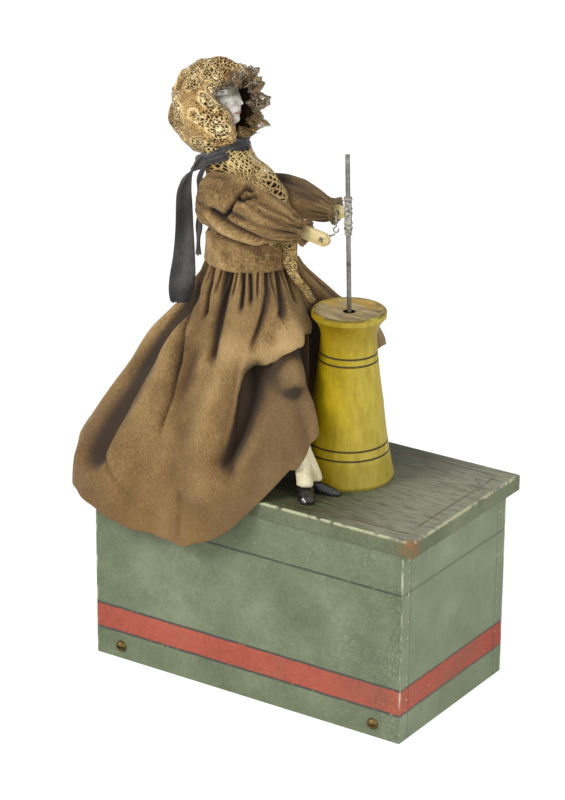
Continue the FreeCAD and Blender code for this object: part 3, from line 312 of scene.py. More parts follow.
# %% Box paint
half_w, half_d, board = 76, 41, 6.35
band_low, band_high, upper_line = 12.5, 23.7, 65.9
box_paint = Finish("box_paint", roughness=0.62)
x, y, z = box_paint.axes()
cloud = box_paint.noise(38, 4, 0.6)
grit = box_paint.noise(700, 2, 0.6)
rubbed = box_paint.noise(330, 3, 0.7)
height = z + (box_paint.noise(120, 2, 0.5) - 0.5) * 0.5
tone = cloud * 0.7 + grit * 0.3
green = box_paint.ramp(tone, {0.34: (92, 105, 78), 0.52: (114, 125, 97), 0.68: (136, 146, 118)})
red = box_paint.ramp(grit * 0.5 + cloud * 0.5, {0.35: (154, 68, 50), 0.65: (186, 92, 72)})
band = height.over(band_low - 0.2, band_low + 0.2) * height.over(band_high + 0.2, band_high - 0.2)
lines = height.near(upper_line, 0.4, 0.2)
for level in (band_low - 0.1, band_high):
    lines = lines.most(height.near(level, 0.45, 0.2))
box_paint.first(box_paint.mix(band, green, red))
box_paint.coat(lines * rubbed.over(0.32, 0.42) * 0.9, (62, 64, 60))

# %% Wear of the box paint, and painted light on its right end
edge = (x.size() - half_w).size().over(0.9, 0.1) * (y.size() - half_d).size().over(0.9, 0.1)
chipped = edge * box_paint.noise(260, 3, 0.7, stretch=(1, 1, 0.4)).over(0.5, 0.58)
on_end = x.size().over(half_w - 0.5, half_w - 0.3)
joint = y.size().near(half_d - board, 0.18, 0.12) * on_end
ticks = y.size().near(half_d - board * 0.8, 0.35, 0.3) * on_end * box_paint.noise(420, 2, 0.6).over(0.6, 0.64)
specks = box_paint.cells(330).over(0.13, 0.06) * box_paint.noise(60, 2, 0.5).over(0.6, 0.68)
box_paint.coat(chipped.most(ticks).most(specks * 0.8), (206, 204, 176))
box_paint.coat(joint * 0.85, (58, 60, 50))
# Painted light: the right end face, outside the band, a little paler.
box_paint.coat(x.over(half_w - 0.5, half_w - 0.2) * (1 - band) * 0.22, (168, 178, 152))
box_paint.coat(box_paint.noise(22, 5, 0.65).over(0.55, 0.75) * 0.35, (92, 98, 76))
cracked = x.over(34, 66) * y.over(1 - half_d, 0.5 - half_d) * box_paint.noise(70, 2, 0.5).over(0.45, 0.55)
cracks = box_paint.cells(420, "DISTANCE_TO_EDGE").over(0.06, 0.02) * cracked
box_paint.coat(cracks * 0.45, (82, 88, 70))
box_paint.feed("Roughness", 0.55 + grit * 0.2)
box_paint.bump(rubbed * 0.4 + grit * 0.4 - cracks * 1.5 - chipped * 0.8, 0.18, 0.7)


def wood_colour(finish):
    grain = finish.noise(60, 4, 0.6, stretch=(1, 6, 6))
    return finish.ramp(grain, {0.3: (168, 132, 88), 0.7: (206, 176, 128)})


inner_w, inner_d = half_w - board, half_d - board
inside = x.size().over(inner_w + 0.3, inner_w + 0.2) * y.size().over(inner_d + 0.3, inner_d + 0.2)
box_paint.coat(inside, wood_colour(box_paint))
wear(["front_board", "back_board", "left_end_board", "right_end_board"], box_paint)

# %% [markdown]
# ## Lid paint
# The lid took the most handling. Its top is darker and greyer than the sides, with dark streaks along the
# grain, a thin brown line inset from the edge, rubbed arrises, and one corner worn to brown wood.

# %% Lid paint
lid_half_w, lid_front, lid_back, lid_top = 80.5, -41.7, 44.0, 90.4
lid_paint = Finish("lid_paint", roughness=0.55)
x, y, z = lid_paint.axes()
top = z.over(lid_top - 0.7, lid_top - 0.2)
cloud = lid_paint.noise(30, 4, 0.6)
grit = lid_paint.noise(700, 2, 0.6)
streak = lid_paint.noise(90, 5, 0.7, stretch=(1, 7, 1))
side = lid_paint.ramp(cloud * 0.6 + grit * 0.4, {0.35: (84, 92, 66), 0.65: (122, 128, 98)})
tone = cloud * 0.35 + grit * 0.2 + streak * 0.45
upper = lid_paint.ramp(tone, {0.38: (38, 42, 22), 0.5: (68, 73, 44), 0.62: (106, 108, 75)})
lid_paint.first(lid_paint.mix(top, side, upper))
lid_paint.coat(x.over(28, 62) * (streak.over(0.34, 0.6) * 0.7 + 0.25) * top, (150, 152, 132))
dark_streak = streak.over(0.6, 0.66) * top * x.over(5, 40)
lid_paint.coat(dark_streak * 0.6, (58, 62, 50))

# %% Line, arrises and worn corner of the lid
rim_x = (x.size() - lid_half_w).size()
rim_y = (y - lid_front).size().least((y - lid_back).size())
inset = 7.0
along_x = rim_x.near(inset, 0.45, 0.25) * rim_y.over(inset - 0.4, inset)
along_y = rim_y.near(inset, 0.45, 0.25) * rim_x.over(inset - 0.4, inset)
pinstripe = along_x.most(along_y) * top * lid_paint.noise(160, 3, 0.6).over(0.34, 0.5)
lid_paint.coat(pinstripe * 0.65, (92, 66, 48))
arris = rim_x.least(rim_y).over(1.3, 0.3) * z.over(lid_top - 1.3, lid_top - 0.5)
lid_paint.coat(arris * lid_paint.noise(240, 3, 0.65).over(0.4, 0.5) * 0.8, (196, 196, 158))
corner = (rim_x + rim_y).over(7.5, 2) * y.over(0.5, -0.5) * x.over(-1, 1)
lid_paint.coat(corner * lid_paint.noise(300, 3, 0.6).over(0.38, 0.5), (134, 98, 58))
spots = lid_paint.cells(210).over(0.16, 0.1) * lid_paint.noise(50, 2, 0.5).over(0.56, 0.62) * top
lid_paint.coat(spots * 0.8, (48, 48, 40))
lid_paint.feed("Roughness", 0.5 + grit * 0.25)
lid_paint.bump(streak * 0.6 + grit * 0.3 - dark_streak * 0.6, 0.22, 0.7)
wear(["top_board"], lid_paint)

# %% [markdown]
# ## Bare wood
# The bottom board, the post and the doll's carved block never had paint. The arms are pale slats of a closer
# wood.

# %% Bare wood
bare_wood = Finish("bare_wood", roughness=0.7)
bare_wood.first(wood_colour(bare_wood))
bare_wood.bump(bare_wood.noise(160, 4, 0.6, stretch=(1, 6, 6)), 0.15, 0.6)
wear(["bottom_board", "figure_post", "torso_block"], bare_wood)
pale_wood = Finish("pale_wood", roughness=0.5)
grain = pale_wood.noise(240, 4, 0.6, stretch=(0.25, 1, 1))
pale_wood.first(pale_wood.ramp(grain, {0.3: (176, 152, 92), 0.55: (218, 200, 146), 0.75: (238, 224, 180)}))
pale_wood.coat(pale_wood.noise(420, 2, 0.6).over(0.62, 0.72) * 0.5, (140, 112, 66))
pale_wood.bump(grain, 0.1, 0.5)
wear(["right_arm", "left_arm"], pale_wood)

# %% [markdown]
# ## Churn paint
# The churn is turned wood under mustard yellow oil paint, with two pairs of dark rings. The paint is a little
# darker in the hollow of the neck and towards the foot, and thin on the rim. Its right side has a painted
# highlight, and the rod's hole has painted shade. The dished top is bare, with grain and some yellow left in
# it.

# %% Churn paint
churn_x, churn_y = 20.8, 3.6
ring_levels = (145.2, 142.1, 106.7, 102.8)
churn_paint = Finish("churn_paint", roughness=0.45, Specular_IOR_Level=0.3)
x, y, z = churn_paint.axes()
off_x, off_y = x - churn_x, y - churn_y
radius = (off_x * off_x + off_y * off_y).do("POWER", 0.5)
cloud = churn_paint.noise(45, 4, 0.6)
grit = churn_paint.noise(600, 3, 0.65)
brushed = churn_paint.noise(150, 4, 0.65, stretch=(2, 2, 0.5))
tone = cloud * 0.5 + grit * 0.2 + brushed * 0.3
churn_paint.first(churn_paint.ramp(tone, {0.36: (134, 110, 0), 0.52: (164, 141, 0), 0.68: (186, 163, 14)}))
# Painted highlight: the right side of the churn paler and greyer.
churn_paint.coat(x.over(24, 38) * (brushed.over(0.35, 0.7) * 0.5 + 0.4), (212, 194, 92))
# Darker towards the foot and in the hollow of the neck.
churn_paint.coat(z.over(103, 100) * 0.35, (126, 108, 6))
churn_paint.coat(z.near(155, 3, 4) * 0.35, (150, 118, 16))
ring = z.near(ring_levels[0], 0.36, 0.16)
for level in ring_levels[1:]:
    ring = ring.most(z.near(level, 0.36, 0.16))
ring = ring * churn_paint.noise(300, 2, 0.6).over(0.24, 0.34)
churn_paint.coat(ring * 0.92, (44, 32, 14))

# %% Dished top of the churn
dish = z.over(161.2, 161.6) * radius.over(13.9, 13.5)
across = churn_paint.noise(120, 5, 0.65, stretch=(0.6, 4, 1))
bare = churn_paint.ramp(across, {0.32: (112, 92, 62), 0.5: (168, 148, 108), 0.68: (196, 180, 140)})
stained = churn_paint.noise(90, 3, 0.6).over(0.5, 0.6) * y.over(1, 6)
churn_paint.coat(dish, churn_paint.mix(stained * 0.7, bare, (190, 152, 56)))
lip = z.over(162.0, 162.6) * radius.over(13.2, 14.4) * churn_paint.noise(260, 3, 0.6).over(0.42, 0.56)
churn_paint.coat(lip * 0.8, (84, 64, 28))
# Painted shade: near black down the bore of the rod's hole and round its mouth.
churn_paint.coat(radius.over(2.9, 2.4) * z.over(150, 152), (24, 18, 12))
dirt = churn_paint.cells(300).over(0.12, 0.05) * churn_paint.noise(55, 2, 0.5).over(0.56, 0.66)
churn_paint.coat(dirt * 0.6, (104, 78, 20))
churn_paint.feed("Roughness", 0.38 + grit * 0.2 + dish * 0.3)
churn_paint.bump(brushed * 0.5 + grit * 0.3 + ring * 0.2, 0.16, 0.5)
wear(["churn_body"], churn_paint)

# %% [markdown]
# ## Metals
# The plates and wheels are brass, the rods, screws and key are steel, and the mainspring is blued. All have
# darker patches where oil and dust settled. The binding on the rod and the far hand's wire are dull with
# solder.

# %% Metals


def metal(name, dark, light, roughness):
    finish = Finish(name, roughness=roughness, Metallic=1.0)
    patch = finish.noise(260, 4, 0.65)
    fine = finish.noise(1560, 2, 0.6)
    finish.first(finish.ramp(patch * 0.7 + fine * 0.3, {0.35: dark, 0.65: light}))
    finish.feed("Roughness", roughness + (patch - 0.5) * 0.3)
    finish.bump(fine, 0.04, 0.5)
    return finish


brass = metal("brass", (120, 92, 44), (196, 162, 92), 0.38)
steel = metal("steel", (92, 90, 84), (168, 166, 158), 0.42)
spring_steel = metal("spring_steel", (40, 46, 58), (78, 88, 104), 0.35)
old_brass = metal("old_brass", (70, 58, 38), (136, 114, 70), 0.5)
solder = Finish("solder", roughness=0.75, Metallic=0.3)
patch = solder.noise(900, 4, 0.65)
solder.first(solder.ramp(patch, {0.36: (84, 82, 74), 0.5: (150, 147, 136), 0.64: (204, 200, 188)}))
solder.bump(patch, 0.25, 0.9)
wear(["base_screws"], old_brass)
wear(["churn_screws", "front_plate", "back_plate", "plate_pillars", "great_wheel", "second_wheel",
      "crank_wheel", "crank_disc", "fly_vane"], brass)
wear(["lid_nails", "dasher_rod", "dasher_eye", "pillar_nuts", "movement_screws", "ratchet_wheel", "click",
      "click_screw", "winding_arbor", "second_arbor", "crank_arbor", "crank_pin", "fly_arbor", "shoulder_pin",
      "right_hand_wire", "winding_key"], steel)
wear(["mainspring", "click_spring"], spring_steel)
wear(["rod_binding", "left_hand_wire"], solder)

# %% [markdown]
# ## Brown cloth
# The dress is plain brown cotton. It has a visible weave and is paler where it is worn on the crests of the
# folds. Deep in the folds, on its far side and on the skirt's churn side below the lap it carries painted
# shade.
# The weave follows the cloth through a UV map in metres, and each point carries a number, its crest, that
# says how high it lies on a fold.

# %% Brown cloth
thread_width = 0.45 * mm
brown_cloth = Finish("brown_cloth", roughness=0.9, Sheen_Weight=0.08, Sheen_Roughness=0.5)
warp = brown_cloth.noise(1 / thread_width, 1, 0.5, stretch=(1, 0.22, 1), source=brown_cloth.uv)
weft = brown_cloth.noise(1 / thread_width, 1, 0.5, stretch=(0.22, 1, 1), source=brown_cloth.uv)
weave = warp.most(weft)
slub = brown_cloth.noise(0.4 / thread_width, 2, 0.6, stretch=(1, 0.1, 1), source=brown_cloth.uv)
cloud = brown_cloth.noise(34, 4, 0.62)
crest = brown_cloth.attribute("crest")
# The crest term makes the crests paler, where worn, and the valleys darker, as painted shade.
tone = weave * 0.38 + slub * 0.06 + cloud * 0.34 + (crest * 0.5 + 0.5) * 0.22
brown_cloth.first(brown_cloth.ramp(tone, {
    0.36: (58, 40, 20), 0.47: (98, 72, 38), 0.55: (136, 108, 64), 0.66: (180, 150, 102)}))
brown_cloth.bump(weave + slub, 0.16, 0.6)
x, y, z = brown_cloth.axes()
brown_cloth.coat(z.over(150, 70) * 0.45, (128, 94, 50))
# Painted shade on the skirt's churn side, below the lap.
brown_cloth.coat(x.over(-14, 6) * z.over(150, 140) * 0.45, (98, 80, 56))
# Painted shade on the far side of the bodice and sleeves, darkest near the body.
shaded_far_side = y.over(8, 14) * z.over(184, 186)
brown_cloth.coat(shaded_far_side * 0.55, (76, 66, 54))
brown_cloth.coat(shaded_far_side * x.over(-13, -20) * 0.6, (36, 30, 24))
# Painted shade deep in the folds.
brown_cloth.coat(crest.over(-0.4, -1.1) * 0.85, (34, 25, 17))

# %% [markdown]
# ## Sheets of cloth
# A tailor starts from flat cloth, and so does every soft piece here. A flat grid is made, and each of its
# points moves to the place that a formula gives for its share u of the width and v of the length. A closed
# form has its seam and poles sewn up afterwards. A sheet gets its thickness inwards.

# %% Sheets of cloth
sewn_gap = 0.03 * mm


def cloth(name, finish, columns, rows, place, size, closed=True, thick=0):
    """A piece laid by place(u, v), with a flat size for its weave. Also gives its area before thickness."""
    bpy.ops.object.select_all(action="DESELECT")
    bpy.ops.mesh.primitive_grid_add(x_subdivisions=columns, y_subdivisions=rows, size=1)
    piece = bpy.context.object
    piece.name = name
    mesh = piece.data
    mesh.name = name
    flat = np.empty(len(mesh.vertices) * 3)
    mesh.vertices.foreach_get("co", flat)
    flat = flat.reshape(-1, 3)
    px, py, pz, crest = place(flat[:, 0] + 0.5, flat[:, 1] + 0.5)
    mesh.vertices.foreach_set("co", (np.stack([px, py, pz], 1) * mm).ravel())
    held = mesh.attributes.new("crest", "FLOAT", "POINT")
    held.data.foreach_set("value", np.clip(crest, -1, 1).astype(np.float32))
    spots = np.empty(len(mesh.loops) * 2)
    mesh.uv_layers[0].data.foreach_get("uv", spots)
    mesh.uv_layers[0].data.foreach_set("uv", (spots.reshape(-1, 2) * np.array(size) * mm).ravel())
    mesh.update()
    if closed:
        bpy.ops.object.mode_set(mode="EDIT")
        bpy.ops.mesh.select_all(action="SELECT")
        bpy.ops.mesh.remove_doubles(threshold=sewn_gap)
        bpy.ops.mesh.normals_make_consistent(inside=False)
        bpy.ops.object.mode_set(mode="OBJECT")
    bpy.ops.object.shade_smooth()
    area = sum(face.area for face in mesh.polygons)
    if thick:
        wall = piece.modifiers.new("wall", "SOLIDIFY")
        wall.thickness = thick * mm
        wall.offset = -1
        bpy.ops.object.modifier_apply(modifier="wall")
    mesh.materials.append(finish.material)
    box = [round(c / mm) for c in piece.dimensions]
    print(name, "faces", len(mesh.polygons), "area", round(area, 5), "box", box)
    return piece, area


# %% [markdown]
# ## Folds
# A fold is a soft ridge or furrow along a line on the cloth. It fades out at both ends of its line. With two
# widths one side of it is steeper than the other, as where heavy cloth hangs over a furrow.

# %% Folds
figure_y = 3.6


def hump(value, centre, half):
    return np.exp(-((value - centre) / half) ** 2)


def ease(t):
    t = np.clip(t, 0, 1)
    return t * t * (3 - 2 * t)


def turned(angle):
    """An angle in degrees brought between -180 and 180."""
    return (angle + 180) % 360 - 180


def fold(around, along, reach, line, depth, half, fade=8.0):
    """A crest, or with a negative depth a valley, along a line of (around in degrees, along) points.

    Two halves make one side of it steeper than the other."""
    line = sorted(line, key=lambda point: point[1])
    middle = np.interp(along, [point[1] for point in line], [point[0] for point in line])
    side = turned(around - middle) * np.pi / 180 * reach
    before, after = half if isinstance(half, tuple) else (half, half)
    half = np.where(side < 0, before, after)
    ends = ease((along - line[0][1] + fade) / fade) * ease((line[-1][1] + fade - along) / fade)
    return depth * np.exp(-(side / half) ** 2) * ends


def unit(arrows):
    return arrows / np.maximum(np.linalg.norm(arrows, axis=-1, keepdims=True), 1e-6)


def along_rows(rows, t, at=None):
    """Every column of the rows at t, where the rows lie evenly from 0 to 1 or at the places given."""
    table = np.array(rows, float)
    at = np.linspace(0, 1, len(table)) if at is None else at
    return [np.interp(t, at, column) for column in table.T]


def by_length(rows, columns):
    """Where the rows lie from 0 to 1, by the length of the line that the two columns draw."""
    parts = np.diff(np.array(rows, float)[:, columns], axis=0)
    steps = np.concatenate([[0], np.cumsum(np.hypot(*parts.T))])
    return steps / steps[-1]


# %% [markdown]
# ## Skirt
# The skirt is one long strip, gathered into the waistband and let fall over the knees, the lid and the front
# of the box. A simulation would give folds of its own, so the folds of the real one are laid one by one: a
# smooth reach round the doll, fine gathers under the band, and then single crests and valleys along lines of
# angle and height.

# %% Reach of the skirt
skirt_x = -32
waist_level = 175.6
skirt_angles = [-25, -13, 12, 32, 90, 140, 180, 217, 270, 312]
skirt_levels = [
    (waist_level, -27.5, (18.3, 18.4, 18.4, 18.2, 17.8, 18.2, 18.4, 18.2, 17.8, 18.0)),
    (158.0, -30.0, (39.0, 33.0, 28.0, 39.5, 29.5, 26.5, 24.5, 23.5, 24.5, 30.0)),
    (140.0, -32.0, (49.5, 38.0, 30.5, 58.0, 42.0, 39.5, 36.5, 36.5, 34.5, 38.5)),
    (116.0, -32.0, (57.5, 36.0, 30.5, 59.0, 50.0, 54.5, 49.5, 50.5, 44.5, 50.5)),
    (92.0, -32.0, (60.0, 31.6, 29.6, 60.0, 50.5, 65.5, 59.5, 70.5, 52.0, 61.5)),
    (60.0, -32.0, (60.0, 29.6, 29.6, 60.0, 50.5, 66.0, 60.5, 71.5, 53.0, 62.0)),
]


def skirt_axis(height):
    """The skirt's axis leans back a little from the waist to the knees."""
    levels = skirt_levels[::-1]
    return np.interp(height, [level[0] for level in levels], [level[1] for level in levels])


def skirt_reach(angle, height):
    """Distance from the skirt's axis, smooth in both directions, without the folds."""
    turn = (angle + 25) % 360 - 25
    spots = np.array(skirt_angles + [335.0])
    heights = [level[0] for level in skirt_levels][::-1]
    rings = []
    for level in skirt_levels[::-1]:
        reaches = np.array([*level[2], level[2][0]])
        k = np.clip(np.searchsorted(spots, turn, side="right") - 1, 0, len(spots) - 2)
        t = ease((turn - spots[k]) / (spots[k + 1] - spots[k]))
        rings.append(reaches[k] * (1 - t) + reaches[k + 1] * t)
    rings = np.stack(rings)
    total = 0
    for shift in (-5, -2.5, 0, 2.5, 5):
        at = np.clip(height + shift, heights[0], heights[-1])
        k = np.clip(np.searchsorted(heights, at) - 1, 0, len(heights) - 2)
        low, high = np.array(heights)[k], np.array(heights)[k + 1]
        t = (at - low) / (high - low)
        columns = np.arange(rings.shape[1])
        total = total + rings[k, columns] * (1 - t) + rings[k + 1, columns] * t
    return total / 5


# %% [markdown]
# ## Lines of the skirt's folds
# A gather runs straight down from the band to a height. Every other row is a line of (angle, height) points,
# a depth in or out, and a width. The lap is the upper edge of a fold of cloth that hangs from the knees in
# front of the churn, over a deep hollow.

# %% Lines of the skirt's folds
gathers = [(-176, 158), (-163, 154), (-151, 160), (-128, 164), (20, 158), (31, 160), (44, 155), (57, 159),
           (69, 157), (82, 160), (95, 156), (108, 159), (121, 155), (134, 158), (147, 160),
           (160, 156), (171, 159)]
slits = [
    ([(-119, 176), (-117, 170)], -1.3, 0.8),
    ([(-112, 176), (-107, 168), (-103, 163), (-98, 158)], -3.2, (1.4, 1.0)),
    ([(-98, 176), (-96, 167)], -1.5, 0.7),
    ([(-91, 176), (-89, 170)], -1.3, 0.6),
    ([(-84, 176), (-82, 169), (-80, 162), (-78, 152), (-76, 143)], -4.4, (2.6, 1.5)),
    ([(-74, 176), (-73, 168)], -1.4, 0.6),
    ([(-66, 176), (-62, 169), (-61, 163)], -3.0, 1.0),
    ([(-57, 176), (-54, 170), (-53, 166)], -2.8, 0.9),
    ([(-47, 176), (-47, 169)], -1.4, 0.6),
    ([(-37, 176), (-38, 168), (-42, 161), (-46, 155), (-50, 150)], -2.6, (0.9, 1.8)),
    ([(-30, 176), (-31, 170)], -1.2, 0.6),
    ([(-22, 176), (-26, 169), (-28, 164), (-30, 161)], -3.2, (1.1, 1.5)),
    ([(-15, 176), (-17, 169)], -1.3, 0.7),
    ([(-8, 176), (-9, 170), (-11, 165)], -2.8, 1.0),
    ([(1, 176), (1, 168)], -1.3, 0.8),
    ([(9, 176), (9, 167), (7, 160)], -2.2, 1.1),
]
valleys = [
    ([(-142, 158), (-141, 145), (-139, 131), (-137, 117), (-134, 105), (-130, 93)], -8.6, (9.0, 7.0)),
    ([(-137, 172), (-134, 163), (-127, 158), (-118, 154), (-109, 147), (-103, 138), (-101, 125), (-102, 114)],
     -3.6, (2.4, 1.2)),
    ([(-47, 137), (-49, 128), (-53, 119), (-57, 111), (-61, 104)], -7.0, (6.5, 2.8)),
    ([(-30, 163), (-36, 157), (-41, 152)], -1.2, (1.4, 2.6)),
    ([(-127, 96), (-116, 88), (-110, 81)], -1.4, 1.6),
    ([(-84, 86), (-85, 72)], -1.1, 1.6),
    ([(-93, 140), (-95, 122)], -1.4, 3.0),
    ([(168, 150), (172, 100), (174, 85)], -5.0, 7.0),
    ([(128, 152), (124, 110), (122, 90)], -6.0, 7.0),
    ([(96, 150), (100, 100)], -4.5, 6.0),
    ([(60, 150), (66, 100)], -5.5, 7.0),
    ([(20, 150), (22, 120)], -4.0, 5.0),
]
crests = [
    ([(-162, 160), (-162, 140), (-160, 118), (-158, 92)], 3.8, (8.0, 5.5)),
    ([(-118, 147), (-117, 132), (-118, 116)], 2.2, (3.5, 6.0)),
    ([(-63, 146), (-68, 135), (-74, 123), (-76, 110), (-76, 92)], 3.4, (8.0, 6.0)),
    ([(-39, 128), (-46, 118), (-54, 109), (-63, 99)], 2.2, (2.5, 6.0)),
    ([(-24, 127), (-22, 117), (-22, 100)], 3.4, 5.0),
    ([(150, 150), (148, 100)], 4.0, 8.0),
    ([(110, 150), (111, 100)], 4.0, 7.0),
    ([(80, 150), (82, 100)], 3.5, 7.0),
    ([(42, 150), (44, 100)], 3.5, 8.0),
]
lap_angles = [-68, -60, -58, -56, -54, -46, -38.5, -33, -27, -11, -3]
lap_heights = [92, 118, 129, 134.6, 137.7, 140.2, 143.7, 147.3, 150, 151, 149]
leg_points = [((-23.5, -2.0, 156.2), (0, -15.5, 147), (20.3, -27, 97)),
              ((-23.5, 8.6, 156.2), (-7, -10, 133), (20.0, -19.8, 97))]
leg_radius, cloth_room = 3.9, 1.3

# %% Folds of the skirt


def over_legs(angle, height, reach):
    """The reach, kept outside the knees and shins."""
    for _, knee, ankle in leg_points:
        t = np.clip((knee[2] - height) / (knee[2] - ankle[2]), 0, 1)
        off_x = knee[0] + (ankle[0] - knee[0]) * t - skirt_axis(height)
        off_y = knee[1] + (ankle[1] - knee[1]) * t - figure_y
        distance = np.hypot(off_x, off_y)
        turn = np.radians(turned(angle - np.degrees(np.arctan2(off_y, off_x))))
        size = (leg_radius + cloth_room) * 1.06
        beside = np.abs(distance * np.sin(turn))
        over = distance * np.cos(turn) + np.sqrt(np.maximum(size ** 2 - beside ** 2, 0))
        over = over - 3.0 * np.maximum(beside - size, 0)
        over = over - 3.0 * np.maximum(height - knee[2] - size, 0) - 100 * (abs(turn) > 1.5)
        reach = np.maximum(reach, over)
    return reach


def skirt_folds(angle, height, reach):
    """Outward shift by all folds, and how high the point lies on them."""
    shift = 0 * height
    gather_half = 0.9 + 0.12 * (reach - 17) / 2
    for spot, low in gathers:
        shift = shift + fold(angle, height, reach, [(spot, low), (spot, 178)], -2.2, gather_half, fade=7)
    for line, depth, half in slits:
        shift = shift + fold(angle, height, reach, line, depth, half, fade=4)
    shift = shift + 0.3 * np.sin(np.radians(angle) * 71) * ease((height - 160) / 12)
    for line, depth, half in valleys + crests:
        shift = shift + fold(angle, height, reach, line, depth, half, fade=9)
    under = np.interp(angle, lap_angles, lap_heights) - height
    part = ease((angle + 66) / 8) * ease((4 - angle) / 10)
    lip = np.where(under < 0, 2.8 * hump(under, -4, 5.5), 1.6 * hump(under, 0, 0.6))
    hollow = -6.5 * (1 - np.exp(-(under / 0.8) ** 2)) * np.exp(-np.maximum(under, 0) / 15) * (under > 0)
    knee = 4.5 * hump(turned(angle + 30), 0, 9) * hump(height, 139, 7) * (under > 1.5)
    pit = -7.0 * hump(turned(angle + 30.5), 0, 4.4) * hump(height, 132, 2.2)
    slim = -2.4 * hump(turned(angle + 17), 0, 8) * hump(height, 134, 6)
    wave = 0.5 * np.sin(angle * 0.21 + height * 0.09) + 0.35 * np.sin(angle * 0.47 - height * 0.16)
    shift = shift + part * (lip + hollow) + knee + pit + slim + wave * ease((165 - height) / 30)
    return shift, shift / (1.8 + 0.045 * (waist_level - height))


# %% [markdown]
# ## The skirt's hem and piece
# The hem lies in a slanting plane over the churn side, and its lowest stretch hangs nearly level in front of
# the box. The points of the grid stand closer together in front, where the folds are finest.

# %% The skirt's hem and piece
dip_line = [(-90, 0), (-85, 0), (-75, -3.5), (-71, -5.4), (-62, -7.6), (-54, -6.5), (-36, -5), (-29, -2.6),
            (-22, 0)]
lowest_line = [(-180, 70), (-160, 73.5), (-150, 74.5), (-137, 74.5), (-124, 71.4), (-109, 67.9), (-96, 66.4),
               (-85, 65.2), (90, 64.4), (180, 70)]
hem_level, hem_slope_x, hem_slope_y = 107.8, 0.822, 0.4256
gathered_at = 176


def hem_height(angle, x, y):
    slanted = hem_level + hem_slope_x * x + hem_slope_y * y + np.interp(angle, *zip(*dip_line))
    return np.maximum(np.interp(angle, *zip(*lowest_line)), slanted)


def round_figure(axis, reach, angle):
    """The point at this reach and angle from an upright axis in the doll's middle plane."""
    return axis + reach * np.cos(np.radians(angle)), figure_y + reach * np.sin(np.radians(angle))


def skirt_place(u, v):
    angle = turned(90 + 360 * u - 25.8 * np.sin(2 * np.pi * (u - 0.556)))
    hem = 0 * angle + 80
    for _ in range(8):
        hem = hem_height(angle, *round_figure(skirt_x, skirt_reach(angle, hem), angle))
    height = gathered_at + (hem - gathered_at) * v
    reach = skirt_reach(angle, height)
    shift, crest = skirt_folds(angle, height, reach)
    reach = over_legs(angle, height, reach + shift)
    return *round_figure(skirt_axis(height), reach, angle), height, crest


skirt, skirt_area = cloth("skirt_cloth", brown_cloth, 340, 140, skirt_place, (420, 118), thick=0.8)
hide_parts("skirt")
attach(skirt, "case")

# %% [markdown]
# ## Waistband
# The band is a straight strip sewn over the tops of the gathers, with a fold line along its lower edge. It is
# turned like a ring on a lathe from rows of height and two radii, and then made a little uneven.

# %% Waistband
waist_x = -27.5
band_rows = [(176.2, 0.0, 0.0), (175.0, 17.8, 16.8), (175.0, 19.0, 18.0), (175.8, 19.6, 18.5),
             (177.6, 19.4, 18.3), (184.0, 19.3, 18.2), (186.6, 19.1, 18.0), (187.5, 18.2, 17.1),
             (187.2, 0.0, 0.0)]


def band_place(u, v):
    angle = 2 * np.pi * u
    height, rx, ry = along_rows(band_rows, v)
    wave = 0.25 * np.sin(3 * angle + 1) + 0.18 * np.sin(7 * angle + height * 0.5) + 0.1 * np.sin(17 * angle)
    wave = wave * (rx > 10)
    level = height + 0.2 * np.sin(2 * angle + 2)
    return waist_x + (rx + wave) * np.cos(angle), figure_y + (ry + wave) * np.sin(angle), level, wave


waistband, _ = cloth("waistband_cloth", brown_cloth, 180, 40, band_place, (115, 20))
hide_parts("waistband")
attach(waistband, "case")

# %% [markdown]
# ## Bodice
# The bodice is mostly under the sleeves and the scarf, and puckers where it goes into the band. It is cut
# close to the carved block, so its rows of centre, height and radii are drawn towards a rectangle there.

# %% Bodice
bodice_rows = [(-27.5, 186.4, 0.0, 0.0), (-27.5, 186.4, 17.4, 15.6), (-27.6, 189.0, 18.2, 13.6),
               (-28.0, 192.0, 17.9, 9.6), (-29.2, 196.0, 16.6, 7.1), (-30.2, 203.0, 16.4, 7.0),
               (-33.2, 208.5, 15.3, 7.0), (-36.2, 213.5, 11.4, 7.2), (-39.0, 219.0, 8.6, 7.3),
               (-40.0, 222.5, 0.0, 0.0)]


def squared(angle, height):
    """Cosine and sine, drawn towards a rectangle where the wooden block fills the bodice."""
    power = 1 - 0.5 * ease((height - 190) / 5) * ease((217 - height) / 4)
    across, deep = np.cos(angle), np.sin(angle)
    return np.sign(across) * abs(across) ** power, np.sign(deep) * abs(deep) ** power


def bodice_place(u, v):
    angle = 2 * np.pi * u
    cx, height, rx, ry = along_rows(bodice_rows, v)
    tucks = 0.45 * np.sin(23 * angle + 0.6) * ease((195 - height) / 7)
    wrinkle = 0.4 * np.sin(height * 0.55 + 3 * np.cos(angle)) * ease((height - 192) / 8)
    shift = (tucks + wrinkle - 0.3) * (rx > 6)
    across, deep = squared(angle, height)
    shade = 0.7 * ease((height - 192) / 3) * ease(across + 0.6)
    return cx + (rx + shift) * across, figure_y + (ry + shift) * deep, height, shift - shade


bodice, _ = cloth("bodice_cloth", brown_cloth, 200, 90, bodice_place, (110, 50))
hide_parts("bodice")
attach(bodice, "case")

# %% [markdown]
# ## Sleeves
# Each sleeve is a wide tube gathered into the shoulder and again at the cuff, where the cloth ends in a small
# ruffle round the wooden arm. The near one is pulled up by the arm, and a deep curled fold runs down from its
# top. The tubes bend between the doll's shoulder and the moving arm.

